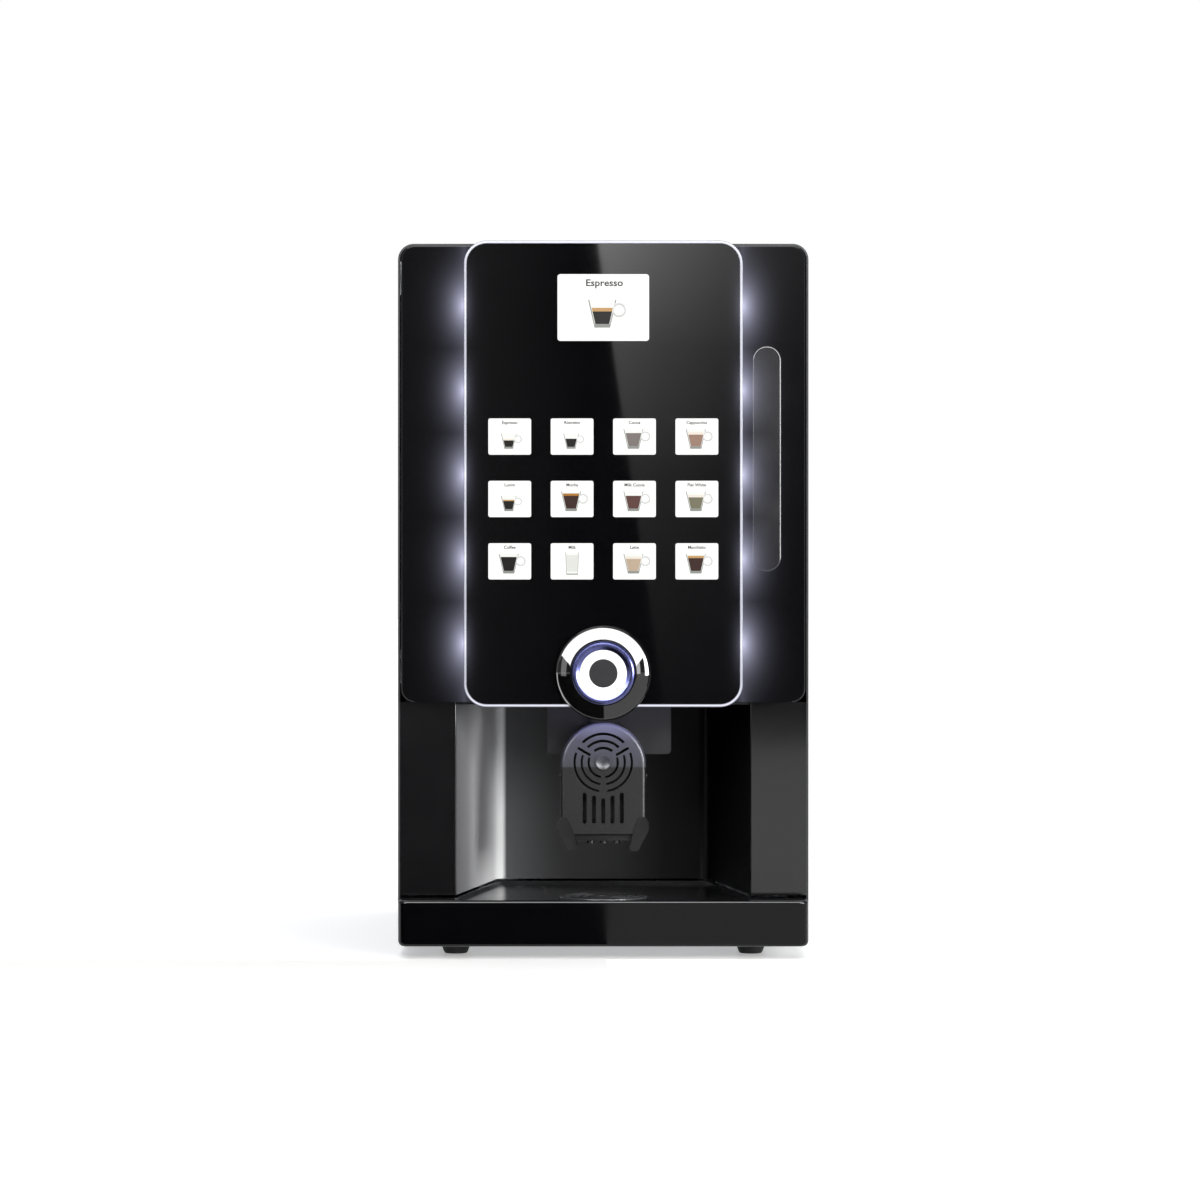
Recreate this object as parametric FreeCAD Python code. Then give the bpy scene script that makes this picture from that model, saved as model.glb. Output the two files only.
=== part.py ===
import FreeCAD, Part
import math
import os

from FreeCAD import Vector as V

# A table-top hot drinks machine: a sheet-metal cabinet with a lit front door, a cup niche,
# an adjustable spout and a drip tray drawer. Millimetres; +Z up, the front faces -Y,
# and the origin is on the counter, under the centre of the machine.

X, Y, Z = V(1, 0, 0), V(0, 1, 0), V(0, 0, 1)

# ---------------------------------------------------------------- driving dimensions
WIDTH, HEIGHT, DEPTH = 416.0, 720.0, 560.0
FOOT_HEIGHT = 13.0
SHEET = 2.0                 # cabinet sheet metal
GAP = 0.3                   # between pieces that move past each other
PIN_PLAY = 0.06             # radial running clearance of a hinge pin
CORNER_R = 16.0             # rounded top edges of the cabinet, outside
TOP_LIP = 8.0               # flat lip of a side panel above its rounded edge
BASE_PROJECTION = 47.0      # the tray drawer stands this far in front of the columns
REAR_STANDOFF = 12.0        # the water inlet stands this far behind the rear panel
BASE_TOP = 58.5             # top of the tray drawer's front
BASE_MARGIN = 2.5           # the drawer's front is this much narrower, each side

NICHE_HALF_FRONT, NICHE_HALF_BACK = 149.0, 113.0
NICHE_DEPTH = 210.0         # behind the column faces
NICHE_BOTTOM = 60.0
NICHE_FILLET = 12.0
LINER_WALL = 2.0
COLUMN_T = 3.0

DOOR_BOTTOM = 256.0
DOOR_TOP_MARGIN = 4.0       # below the cabinet top
DOOR_SIDE_MARGIN = 4.4      # inside the cabinet side
DOOR_CORNER_R = 13.5
DOOR_PANEL_T, DOOR_WALL = 3.0, 2.5
DOOR_SETBACK = 26.0         # door panel face behind the drawer's front
DOOR_GAP = 1.0              # behind the closed door

WING_W = 63.6               # door skin that shows at each side of the glass
GLASS_CORNER_R, GLASS_T = 23.0, 4.0
GLASS_BOTTOM = 251.6
GLASS_TOP_MARGIN = 0.3      # below the cabinet top
GLASS_SETBACK = 12.0        # glass face behind the drawer's front
RIM = 2.8                   # lit edge that shows round the glass
CARRIER_INSET = 12.0        # the raised backing ends this far inside the glass

SCREEN_W, SCREEN_H, SCREEN_R = 92.0, 67.0, 3.0
SCREEN_DROP = 67.2          # its centre, below the glass top
KEY_W, KEY_H, KEY_R = 43.0, 36.4, 2.0
KEY_PITCH = 62.6
KEY_COLUMNS, KEY_ROWS = 4, 3
KEY_DROP = 196.7            # centre of the top row, below the glass top
LED_COUNT, LED_DROP, LED_RISE = 5, 64.7, 63.4     # from the glass top, and from its bottom

KNOB_R, KNOB_RISE = 47.5, 33.9      # bezel radius; its centre above the glass bottom
CAP_R, LIGHT_R, DISC_R = 31.5, 23.4, 14.3
CAP_PLAY, BUTTON_TRAVEL = 0.35, 2.0

GRIP_W, GRIP_H, GRIP_T = 29.0, 227.0, 7.0
GRIP_INSET, GRIP_RISE = 39.1, 245.0 # its centre, in from the door's side and above its bottom

SPOUT_HALF, SPOUT_TOP, SPOUT_BOTTOM = 43.8, 233.5, 119.6
SPOUT_SETBACK = 80.0        # spout face behind the drawer's front
SPOUT_DEPTH, SPOUT_WALL = 26.0, 2.2
SPOUT_TRAVEL = 60.0
RAIL_STEM, RAIL_HEAD = 8.0, 13.0    # half widths of the T rail
NOZZLE_R, NOZZLE_BORE, NOZZLE_X = 4.0, 2.5, 13.0

HOUSING_LEFT, HOUSING_RIGHT, HOUSING_BOTTOM = -58.0, 70.0, 200.0
HOUSING_DEPTH, HOUSING_WALL = 36.0, 2.5

GRILLE_R, GRILLE_T = 45.0, 3.0
BASIN_MARGIN = 3.0          # the basin is this much wider, each side, than the niche's back

PLATE_OFFSET = 323.0        # equipment plate behind the column faces
SHELF_DROP = 204.0          # canister shelf below the cabinet top
CANISTER_H, CANISTER_W, CANISTER_D = 166.0, 104.0, 232.0
CANISTER_WALL = 2.5
AUGER_R, SHAFT_R = 11.0, 3.0
BOWL_R, BOWL_H, BOWL_DROP = 30.0, 52.0, 100.0
WHISK_R = 17.0
STACK_INSET = 76.0          # grinder and brewer centre line, in from the cabinet side
LID_SIDE_MARGIN, LID_DEPTH, LID_SETBACK = 58.0, 262.0, 46.0
LOCK_R, LOCK_RISE, LOCK_SETBACK = 9.5, 226.0, 58.0

# ---------------------------------------------------------------- derived places
HALF = WIDTH / 2
FRONT, BACK = -DEPTH / 2, DEPTH / 2
CAB_FRONT = FRONT + BASE_PROJECTION
REAR = BACK - REAR_STANDOFF
INNER = HALF - SHEET
NICHE_BACK = CAB_FRONT + NICHE_DEPTH
DECK = DOOR_BOTTOM - SHEET - 1.0                # underside of the inner deck
DECK_TOP = DECK + SHEET
PLATE_Y = CAB_FRONT + PLATE_OFFSET
SHELF = HEIGHT - SHELF_DROP

DOOR_TOP = HEIGHT - DOOR_TOP_MARGIN
DOOR_HALF = HALF - DOOR_SIDE_MARGIN
DOOR_FACE = FRONT + DOOR_SETBACK
DOOR_BACK = CAB_FRONT - DOOR_GAP
GLASS_TOP = HEIGHT - GLASS_TOP_MARGIN
GLASS_FACE = FRONT + GLASS_SETBACK
KNOB_Z = GLASS_BOTTOM + KNOB_RISE
HINGE_X, HINGE_Y = -(DOOR_HALF - 13.6), DOOR_FACE + 10.0
HINGE_PIN_R, HINGE_BOSS_R = 3.0, 6.4
SPOUT_FACE = FRONT + SPOUT_SETBACK
SPOUT_BACK = SPOUT_FACE + SPOUT_DEPTH
RAIL_FRONT = SPOUT_BACK + GAP
HOUSING_FACE = RAIL_FRONT + 8.0
SPOUT_ARCH_Z = SPOUT_TOP - SPOUT_HALF
NOZZLE_Y = SPOUT_FACE + 13.0
TRAY_TOP = NICHE_BOTTOM - 2.0
TRAY_FLOOR = TRAY_TOP - 3.0
BASIN_TOP = TRAY_TOP - 6.5      # the tray rests on the basin here
GRILLE_Y = NOZZLE_Y - 2.0
LOCK_Y, LOCK_Z = CAB_FRONT + LOCK_SETBACK, DOOR_BOTTOM + LOCK_RISE
LID_FRONT = CAB_FRONT + LID_SETBACK
LID_REAR = LID_FRONT + LID_DEPTH
LID_AXIS_Y, LID_AXIS_Z = LID_REAR + 4.0, HEIGHT - 4.0
LEFT_X = -(HALF - STACK_INSET)
GLASS_HALF = DOOR_HALF - WING_W
GRIP_X = DOOR_HALF - GRIP_INSET
LID_HALF = HALF - LID_SIDE_MARGIN
LED_PITCH = (GLASS_TOP - LED_DROP - GLASS_BOTTOM - LED_RISE) / (LED_COUNT - 1)
BASIN_HALF = NICHE_HALF_BACK + BASIN_MARGIN

nodes = {}


# ---------------------------------------------------------------- shape helpers
def block(x0, x1, y0, y1, z0, z1):
    return Part.makeBox(x1 - x0, y1 - y0, z1 - z0, V(x0, y0, z0))


def rod(radius, start, direction, length):
    return Part.makeCylinder(radius, length, start, direction)


def prism(points, direction):
    """A polygon's face, pushed along direction."""
    return Part.Face(Part.makePolygon(points + points[:1])).extrude(direction)


def prism_xy(points, z0, z1):
    return prism([V(x, y, z0) for x, y in points], Z * (z1 - z0))


def prism_xz(points, y0, y1):
    return prism([V(x, y0, z) for x, z in points], Y * (y1 - y0))


def prism_yz(points, x0, x1):
    return prism([V(x0, y, z) for y, z in points], X * (x1 - x0))


def turned(points, centre, axis=Y):
    """Revolves (radius, along) points about an axis through centre."""
    side = Z if axis == X else X
    outline = [centre + side * r + axis * a for r, a in points]
    face = Part.Face(Part.makePolygon(outline + outline[:1]))
    return face.revolve(centre, axis, 360)


def runs_along(edge, axis):
    if not isinstance(edge.Curve, Part.Line):
        return False
    ends = [v.Point for v in edge.Vertexes]
    return abs(abs((ends[1] - ends[0]).normalize().dot(axis)) - 1) < 1e-6


def rounded(shape, radius, axis, where=lambda p: True):
    """Fillets the straight edges that run along axis and whose middle passes where."""
    edges = [e for e in shape.Edges if runs_along(e, axis) and where(e.CenterOfMass)]
    return shape.makeFillet(radius, edges)


def plate_xz(half, z0, z1, radius, y0, y1):
    return rounded(block(-half, half, y0, y1, z0, z1), radius, Y)


def arc_slot(centre, radius, width, start, stop, depth):
    """A slot along an arc in the XZ plane; angles in degrees from +X."""
    def at(r, degrees):
        a = math.radians(degrees)
        return centre + V(r * math.cos(a), 0, r * math.sin(a))
    inner, outer, middle = radius - width / 2, radius + width / 2, (start + stop) / 2
    outline = Part.Wire([
        Part.Arc(at(outer, start), at(outer, middle), at(outer, stop)).toShape(),
        Part.LineSegment(at(outer, stop), at(inner, stop)).toShape(),
        Part.Arc(at(inner, stop), at(inner, middle), at(inner, start)).toShape(),
        Part.LineSegment(at(inner, start), at(outer, start)).toShape(),
    ])
    return Part.Face(outline).extrude(Y * depth)


def long_slot_xz(x, z0, z1, width, y0, y1):
    return rounded(block(x - width / 2, x + width / 2, y0, y1, z0, z1), width / 2.02, Y)


def tube_route(points, radius, bore, share=0.45):
    """A hose along straight runs joined by tangent arcs."""
    edges, here = [], points[0]
    for before, corner, after in zip(points, points[1:], points[2:]):
        u, w = (before - corner), (after - corner)
        run = min(u.Length, w.Length)
        u.normalize()
        w.normalize()
        tangent = share * run
        p, q = corner + u * tangent, corner + w * tangent
        bend = math.pi - u.getAngle(w)
        r = tangent / math.tan(bend / 2)
        inward = (u + w).normalize()
        middle = corner + inward * (math.hypot(r, tangent) - r)
        if (p - here).Length > 1e-6:
            edges.append(Part.LineSegment(here, p).toShape())
        edges.append(Part.Arc(p, middle, q).toShape())
        here = q
    edges.append(Part.LineSegment(here, points[-1]).toShape())
    path = Part.Wire(edges)
    start = (points[1] - points[0]).normalize()

    def swept(r):
        ring = Part.Wire([Part.makeCircle(r, points[0], start)])
        return path.makePipeShell([ring], True, True)
    return swept(radius).cut(swept(bore))


def joined(shapes):
    first, rest = shapes[0], shapes[1:]
    return first.fuse(rest).removeSplitter() if rest else first


def group(shapes):
    return Part.makeCompound(shapes)


def mirrored(shape):
    return shape.mirror(V(0, 0, 0), X)


# ---------------------------------------------------------------- cabinet
def side_panel(with_lock):
    """The right-hand side with its rounded top edge; the left one is its mirror image."""
    x0 = HALF - CORNER_R - TOP_LIP
    outer = rounded(block(x0, HALF, CAB_FRONT, REAR - SHEET, FOOT_HEIGHT, HEIGHT), CORNER_R, Y,
                    lambda p: p.x > HALF - 1 and p.z > HEIGHT - 1)
    inner = rounded(block(x0 - 1, INNER, CAB_FRONT - 1, REAR, FOOT_HEIGHT - 1, HEIGHT - SHEET),
                    CORNER_R - SHEET, Y, lambda p: p.x > INNER - 1 and p.z > HEIGHT - SHEET - 1)
    panel = outer.cut(inner)
    if with_lock:
        panel = panel.cut(rod(LOCK_R, V(INNER - 1, LOCK_Y, LOCK_Z), X, SHEET + 2))
    return panel


def top_panel():
    edge = HALF - CORNER_R - TOP_LIP - GAP
    under = edge + 6.0
    ledge = 6.0
    rear_edge = LID_REAR + 9.0
    top = block(-edge, edge, CAB_FRONT, REAR - SHEET, HEIGHT - SHEET, HEIGHT)
    flange = block(-under, under, CAB_FRONT + 22, REAR - SHEET, HEIGHT - 2 * SHEET, HEIGHT - SHEET)
    shape = joined([top, flange])
    shape = shape.cut(block(-LID_HALF - 1, LID_HALF + 1, LID_FRONT - 1, rear_edge,
                            HEIGHT - SHEET, HEIGHT + 1))
    shape = shape.cut(block(-LID_HALF + ledge, LID_HALF - ledge, LID_FRONT + ledge, rear_edge,
                            HEIGHT - 2 * SHEET - 1, HEIGHT))
    shape = shape.cut(block(-LID_HALF - 1, LID_HALF + 1, LID_REAR - 12, rear_edge,
                            HEIGHT - 2 * SHEET - 1, HEIGHT))
    knuckles = []
    for x in LID_KNUCKLES:
        for x0 in (x - 35, x + 15.5):
            barrel = rod(3.5, V(x0, LID_AXIS_Y, LID_AXIS_Z), X, 19.5)
            web = block(x0, x0 + 19.5, LID_AXIS_Y, rear_edge + 1, LID_AXIS_Z - 1.5, LID_AXIS_Z + 2)
            knuckles.append(barrel.fuse(web))
    shape = joined([shape] + knuckles)
    for x in LID_KNUCKLES:
        shape = shape.cut(rod(1.5, V(x - 36, LID_AXIS_Y, LID_AXIS_Z), X, 72))
    return shape


LID_KNUCKLES = (-75.0, 75.0)


def top_lid():
    plate = rounded(block(-LID_HALF, LID_HALF, LID_FRONT, LID_REAR, HEIGHT - SHEET, HEIGHT), 4, Z)
    shapes = [plate]
    for x in LID_KNUCKLES:
        shapes.append(rod(3.5, V(x - 15, LID_AXIS_Y, LID_AXIS_Z), X, 30))
        shapes.append(block(x - 15, x + 15, LID_REAR - 10, LID_AXIS_Y,
                            LID_AXIS_Z - 1.5, HEIGHT - SHEET))
    lid = joined(shapes)
    for x in LID_KNUCKLES:
        lid = lid.cut(rod(1.5 + PIN_PLAY, V(x - 16, LID_AXIS_Y, LID_AXIS_Z), X, 32))
    finger = rod(11, V(0, LID_FRONT - 4, HEIGHT - SHEET - 1), Z, SHEET + 2)
    return lid.cut(finger)


def rear_panel():
    panel = block(-HALF, HALF, REAR - SHEET, REAR, FOOT_HEIGHT, HEIGHT)
    panel = rounded(panel, CORNER_R, Y, lambda p: p.z > HEIGHT - 1)
    for row in range(9):
        for column in (-1, 1):
            z = VENT_Z + row * 9
            panel = panel.cut(rounded(block(column * 95 - 35, column * 95 + 35, REAR - SHEET - 1,
                                            REAR + 1, z, z + 3.2), 1.5, Y))
    for radius in (12, 20, 28, 36):
        for start in (10, 100, 190, 280):
            panel = panel.cut(arc_slot(V(FAN_X, REAR - SHEET - 1, FAN_Z), radius, 4,
                                       start, start + 70, SHEET + 2))
    panel = panel.cut(block(INLET_X - 24.2, INLET_X + 24.2, REAR - SHEET - 1, REAR + 1,
                            INLET_Z - 14.2, INLET_Z + 14.2))
    panel = panel.cut(rod(13.5, V(WATER_X, REAR - SHEET - 1, WATER_Z), Y, SHEET + 2))
    for x, z in REAR_SCREWS():
        panel = panel.cut(rod(2, V(x, REAR - SHEET - 1, z), Y, SHEET + 2))
    return panel


FAN_X, FAN_Z = HALF - 103.0, HEIGHT - 160.0
VENT_Z = 150.0
INLET_X, INLET_Z = -(HALF - 78.0), 62.0
WATER_X, WATER_Z = HALF - 78.0, 62.0


def REAR_SCREWS():
    edge = INNER - 7
    return [(sx * edge, z) for sx in (-1, 1)
            for z in (FOOT_HEIGHT + 20, (FOOT_HEIGHT + HEIGHT) / 2, HEIGHT - 40)]


def base_chassis():
    """Floor pan with turned-up edges, folded tray runners and rear screw flanges."""
    front, rear = CAB_FRONT + 2, REAR - SHEET
    floor = block(-INNER, INNER, front, rear, FOOT_HEIGHT, FOOT_HEIGHT + SHEET)
    parts = [floor]
    for side in (-1, 1):
        wall = sorted((side * INNER, side * (INNER - SHEET)))
        parts.append(block(*wall, front, rear, FOOT_HEIGHT, FOOT_HEIGHT + 32))
        tab = sorted((side * INNER, side * (INNER - 14)))
        parts.append(block(*tab, rear - SHEET, rear, FOOT_HEIGHT, DECK))
        runner = sorted((side * RUNNER_OUT, side * (RUNNER_OUT - 10)))
        parts.append(block(*runner, front, NICHE_BACK, FOOT_HEIGHT + SHEET, RUNNER_TOP))
    shape = joined(parts)
    for x, y in BASE_HOLES():
        shape = shape.cut(rod(BOLT_HOLE_R, V(x, y, FOOT_HEIGHT - 1), Z, SHEET + 2))
    for x, z in REAR_SCREWS():
        shape = shape.cut(rod(2, V(x, rear - SHEET - 1, z), Y, SHEET + 2))
    for x, y in FOOT_PLACES():
        shape = shape.cut(rod(FOOT_SCREW_R, V(x, y, FOOT_HEIGHT - 1), Z, SHEET + 2))
    return shape


RUNNER_OUT, RUNNER_TOP = BASIN_HALF + 14.0, 24.0
BOLT_HOLE_R, FOOT_SCREW_R = 3.25, 2.5


def BASE_HOLES():
    return [(sx * (HALF - 38), y) for sx in (-1, 1) for y in (FRONT + 145, BACK - 55)]


def FOOT_PLACES():
    x = max(HALF - 58, RUNNER_OUT + 19)
    return [(sx * x, y) for sx in (-1, 1) for y in (CAB_FRONT + 17, REAR - 30)]


def rubber_feet():
    feet = []
    for x, y in FOOT_PLACES():
        pad = turned([(0, 0), (11, 0), (12.5, 2), (14.5, 8), (14.5, FOOT_HEIGHT), (0, FOOT_HEIGHT)],
                     V(x, y, 0), Z)
        stud = rod(FOOT_SCREW_R, V(x, y, FOOT_HEIGHT), Z, SHEET + 3)
        feet.append(joined([pad, stud]))
    return group(feet)


def inner_deck():
    """Shelf over the niche; the spout and its housing pass through it."""
    deck = block(-INNER, INNER, CAB_FRONT + COLUMN_T + GAP, REAR - SHEET, DECK, DECK_TOP)
    hole = block(HOUSING_LEFT - 2, HOUSING_RIGHT + 2, SPOUT_FACE - 5, HOUSING_FACE + HOUSING_DEPTH,
                 DECK - 1, DECK_TOP + 1)
    cable = block(-INNER + 20, -INNER + 70, PLATE_Y + 40, PLATE_Y + 90, DECK - 1, DECK_TOP + 1)
    return deck.cut(hole).cut(cable)


def equipment_plate():
    """Upright plate that carries the works, with the canister shelf folded forward."""
    plate = block(-INNER, INNER, PLATE_Y, PLATE_Y + SHEET, DECK_TOP, HEIGHT - 2 * SHEET)
    plate = plate.common(block(-INNER, INNER, PLATE_Y - 1, PLATE_Y + 5, DECK_TOP, HEIGHT)
                         .cut(block(-HALF, -INNER + CORNER_R, PLATE_Y - 2, PLATE_Y + 6,
                                    HEIGHT - CORNER_R - 2, HEIGHT + 1))
                         .cut(block(INNER - CORNER_R, HALF, PLATE_Y - 2, PLATE_Y + 6,
                                    HEIGHT - CORNER_R - 2, HEIGHT + 1)))
    x0 = CANISTERS()[0] - CANISTER_W / 2 - 3
    front = CANISTER_FRONT() + 4
    shelf = block(x0, INNER, front, PLATE_Y, SHELF - SHEET, SHELF)
    lip = block(x0, INNER, front, front + SHEET, SHELF - SHEET - 10, SHELF)
    end = block(x0, x0 + SHEET, front, PLATE_Y, SHELF - SHEET - 10, SHELF)
    shape = joined([plate, shelf, lip, end])
    for x in CANISTERS():
        shape = shape.cut(rod(SHAFT_R + 2, V(x, PLATE_Y - 1, AUGER_Z()), Y, SHEET + 2))
        shape = shape.cut(rod(SHAFT_R + 2, V(x, PLATE_Y - 1, BOWL_Z()), Y, SHEET + 2))
    return shape


def CANISTERS():
    """Centre lines of the two powder canisters, from the right-hand wall."""
    right = INNER - 15 - CANISTER_W / 2
    return (right - CANISTER_W - 8, right)


def AUGER_Z():
    return SHELF + CANISTER_WALL + AUGER_R + 4


def BOWL_Z():
    return SHELF - BOWL_DROP + BOWL_R


def niche_liner():
    """One moulding: two splayed walls and the back, with rounded inner corners."""
    a, b, y0, y1 = NICHE_HALF_FRONT, NICHE_HALF_BACK, CAB_FRONT + COLUMN_T, NICHE_BACK
    t = LINER_WALL
    inner = prism_xy([(-a, y0), (a, y0), (b, y1), (-b, y1)], NICHE_BOTTOM, DECK)
    outer = prism_xy([(-a - t, y0), (a + t, y0), (b + t, y1 + t), (-b - t, y1 + t)],
                     NICHE_BOTTOM, DECK)
    outer = rounded(outer, NICHE_FILLET + t, Z, lambda p: p.y > y1)
    inner = rounded(inner, NICHE_FILLET, Z, lambda p: p.y > y1 - 1)
    return outer.cut(inner)


def column_covers():
    """The two front faces beside the niche, each with a return along the cabinet side."""
    y0, t = CAB_FRONT, COLUMN_T
    z0, z1 = NICHE_BOTTOM, DECK
    face = block(NICHE_HALF_FRONT, INNER, y0, y0 + t, z0, DOOR_BOTTOM - 0.5)
    face = rounded(face, 1.2, Z, lambda p: p.y < y0 + 1 and p.x < INNER - 1)
    side = block(INNER - t, INNER, y0, y0 + 40, z0, z1)
    foot = block(NICHE_HALF_FRONT + 4, INNER, y0, y0 + 40, z0, z0 + t)
    cover = joined([face, side, foot])
    return group([mirrored(cover), cover])


def outlet_housing():
    """Hollow hood that brings the drink hoses down, with the spout's T rail on its face."""
    y0, y1, w = HOUSING_FACE, HOUSING_FACE + HOUSING_DEPTH, HOUSING_WALL
    hood = block(HOUSING_LEFT, HOUSING_RIGHT, y0, y1, HOUSING_BOTTOM, DECK_TOP)
    hood = rounded(hood, 4.5, Y, lambda p: p.z < HOUSING_BOTTOM + 1)
    flange = block(HOUSING_LEFT - 8, HOUSING_RIGHT + 8, y0, y1 + 8, DECK_TOP, DECK_TOP + SHEET)
    mast = block(-30, 30, y0, y0 + 4, DECK_TOP, RAIL_TOP)
    shape = joined([hood, flange, mast])
    shape = shape.cut(block(HOUSING_LEFT + w, HOUSING_RIGHT - w, y0 + w + 1.5, y1 - w,
                            HOUSING_BOTTOM + w, DECK_TOP + SHEET + 1))
    stem = block(-RAIL_STEM, RAIL_STEM, RAIL_FRONT + 3, y0, RAIL_BOTTOM, RAIL_TOP)
    head = block(-RAIL_HEAD, RAIL_HEAD, RAIL_FRONT, RAIL_FRONT + 3, RAIL_BOTTOM, RAIL_TOP)
    return joined([shape, stem, head])


RAIL_BOTTOM, RAIL_TOP = HOUSING_BOTTOM + 6, SPOUT_TOP + SPOUT_TRAVEL + 12


def hinge_levels():
    """(underside of the bracket plate, +1 where the pin points up)."""
    return ((DOOR_BOTTOM + 18, 1), (DOOR_TOP - 16, -1))


HINGE_PLATE_T, HINGE_SLOT = 3.0, 5.6
HINGE_PIN_L = 18.0


def door_hinge_brackets():
    """Gooseneck plates: the arm reaches the hinge axis from behind, inside a slot in the door."""
    brackets = []
    for z, up in hinge_levels():
        x, y = HINGE_X, HINGE_Y
        arm = prism_xy([(x - 1, y), (x - 1, y + 18), (-INNER, y + 18), (-INNER, y + 48),
                        (x + 20, y + 48), (x + 20, y + 12), (x + 5, y - 2)], z, z + HINGE_PLATE_T)
        boss = rod(HINGE_BOSS_R, V(x, y, z), Z, HINGE_PLATE_T)
        tab_z = (z, z + 34) if up > 0 else (z + HINGE_PLATE_T - 34, z + HINGE_PLATE_T)
        tab = block(-INNER, -INNER + 3, y + 18, y + 48, *tab_z)
        bracket = joined([arm, boss, tab])
        brackets.append(bracket.cut(rod(HINGE_PIN_R, V(x, y, z - 1), Z, 5)))
    return group(brackets)


def hinge_pins():
    pins = []
    for z, up in hinge_levels():
        start = z if up > 0 else z + HINGE_PLATE_T
        pins.append(rod(HINGE_PIN_R, V(HINGE_X, HINGE_Y, start), Z * up,
                        HINGE_PLATE_T + HINGE_PIN_L))
    for x in LID_KNUCKLES:
        pins.append(rod(1.5, V(x - 35, LID_AXIS_Y, LID_AXIS_Z), X, 70))
    return group(pins)


def pan_screw(radius, place, direction, length):
    """A pan-head screw: place is under its head, direction points along its shank."""
    shank = rod(radius, place, direction, length)
    head = rod(radius * 1.9, place, direction * -1, 1.8)
    return head.fuse(shank).removeSplitter()


def panel_screws():
    screws = [pan_screw(2, V(x, REAR, z), V(0, -1, 0), 2 * SHEET if z < DECK else SHEET)
              for x, z in REAR_SCREWS()]
    for z, up in hinge_levels():
        for y in (HINGE_Y + 25, HINGE_Y + 41):
            screws.append(rod(3.2, V(-INNER + 3, y, z + up * 20), X, 1.8))
    return group(screws)


# ---------------------------------------------------------------- door
def door_panel():
    """Gloss front skin with the raised backing that the glass is bonded to."""
    skin = plate_xz(DOOR_HALF, DOOR_BOTTOM, DOOR_TOP, DOOR_CORNER_R, DOOR_FACE,
                    DOOR_FACE + DOOR_PANEL_T)
    front = [e for e in skin.Edges if abs(e.BoundBox.YMin - DOOR_FACE) < 1e-6
             and e.BoundBox.YLength < 1e-6]
    skin = skin.makeChamfer(1.2, front)
    half, z0, z1 = carrier_outline()
    backing = plate_xz(half, z0, z1, BACKING_R, GLASS_FACE + GLASS_T, DOOR_FACE + 1)
    shape = joined([skin, backing])
    pocket_half, floor, ceiling = half - 10, KNOB_Z + CAP_R + 14, z1 - 10
    pocket = plate_xz(pocket_half, floor, ceiling, 4, GLASS_FACE + GLASS_T - 1,
                      DOOR_FACE + DOOR_PANEL_T + 1)
    shape = shape.cut(pocket)
    return shape.cut(rod(BODY_R + GAP, V(0, GLASS_FACE - 1, KNOB_Z), Y, 30))


BODY_R = 27.0               # the start button's barrel behind the glass
BACKING_R = GLASS_CORNER_R - CARRIER_INSET + 3


def carrier_outline():
    return (GLASS_HALF - CARRIER_INSET, DOOR_BOTTOM + 3, DOOR_TOP - 3)


def door_frame():
    """Deep frame behind the skin, with hinge blocks, hinge slots and the lock strike."""
    y0, y1 = DOOR_FACE + DOOR_PANEL_T, DOOR_BACK
    half, z0, z1, w = DOOR_HALF - 1.5, DOOR_BOTTOM + 1.5, DOOR_TOP - 1.5, DOOR_WALL
    frame = plate_xz(half, z0, z1, DOOR_CORNER_R - 1.5, y0, y1)
    frame = frame.cut(plate_xz(half - w, z0 + w, z1 - w, DOOR_CORNER_R - 4, y0 - 1, y1 - 2))
    window = block(HINGE_X + 32, half - 14, y0, y1 + 1, z0 + 12, z1 - 12)
    frame = frame.cut(window)
    parts = [frame]
    for z, up in hinge_levels():
        low = z + HINGE_PLATE_T + 1.3 if up > 0 else z - 1.3 - HINGE_PIN_L
        parts.append(block(HINGE_X - 8.5, HINGE_X + 8.5, y0, y1, low, low + HINGE_PIN_L))
    x = STRIKE_X
    arm = block(x, x + 3, y1 - 2, LOCK_Y + 9, LOCK_Z + 11.5, LOCK_Z + 23)
    arm = arm.fuse(block(x, half - 10, y1 - 2, y1, LOCK_Z + 5, LOCK_Z + 30))
    arm = arm.fuse(block(x, x + 9.5, LOCK_Y + 6.5, LOCK_Y + 9, LOCK_Z + 11.5, LOCK_Z + 23))
    parts.append(arm)
    shape = joined(parts)
    for z, up in hinge_levels():
        slot = z - 1.3
        shape = shape.cut(block(-DOOR_HALF - 1, HINGE_X + 25, y0, y1 + 1, slot, slot + HINGE_SLOT))
        shape = shape.cut(rod(HINGE_PIN_R + PIN_PLAY, V(HINGE_X, HINGE_Y, z - 25), Z, 53))
    return shape


STRIKE_X = INNER - 31.0


def door_inner_cover():
    """Back cover of the door, with a shallow box for the display electronics."""
    y0 = DOOR_BACK
    x0, x1 = HINGE_X + 28, DOOR_HALF - 1.5 - 11
    z0, z1 = DOOR_BOTTOM + 11, DOOR_TOP - 11
    cover = block(x0, x1, y0, y0 + 1.5, z0, z1)
    box = rounded(block(*COVER_BOX_X(), y0, y0 + COVER_BULGE, z0 + 45, z1 - 14), 5, Y)
    cover = joined([cover, box])
    cover = cover.cut(block(COVER_BOX_X()[0] + 2, COVER_BOX_X()[1] - 2, y0 - 1,
                            y0 + COVER_BULGE - 2, z0 + 47, z1 - 16))
    return cover.cut(block(STRIKE_X - 1, HALF, y0 - 1, y0 + 3, LOCK_Z + 4, LOCK_Z + 31))


COVER_BULGE = 17.0


def COVER_BOX_X():
    return (-GLASS_HALF + 6, GLASS_HALF - 6)


def glass_outline(grow=0.0):
    return dict(half=GLASS_HALF - RIM - grow, z0=GLASS_BOTTOM + RIM + grow,
                z1=GLASS_TOP - RIM - grow, radius=GLASS_CORNER_R - RIM - grow)


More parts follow.
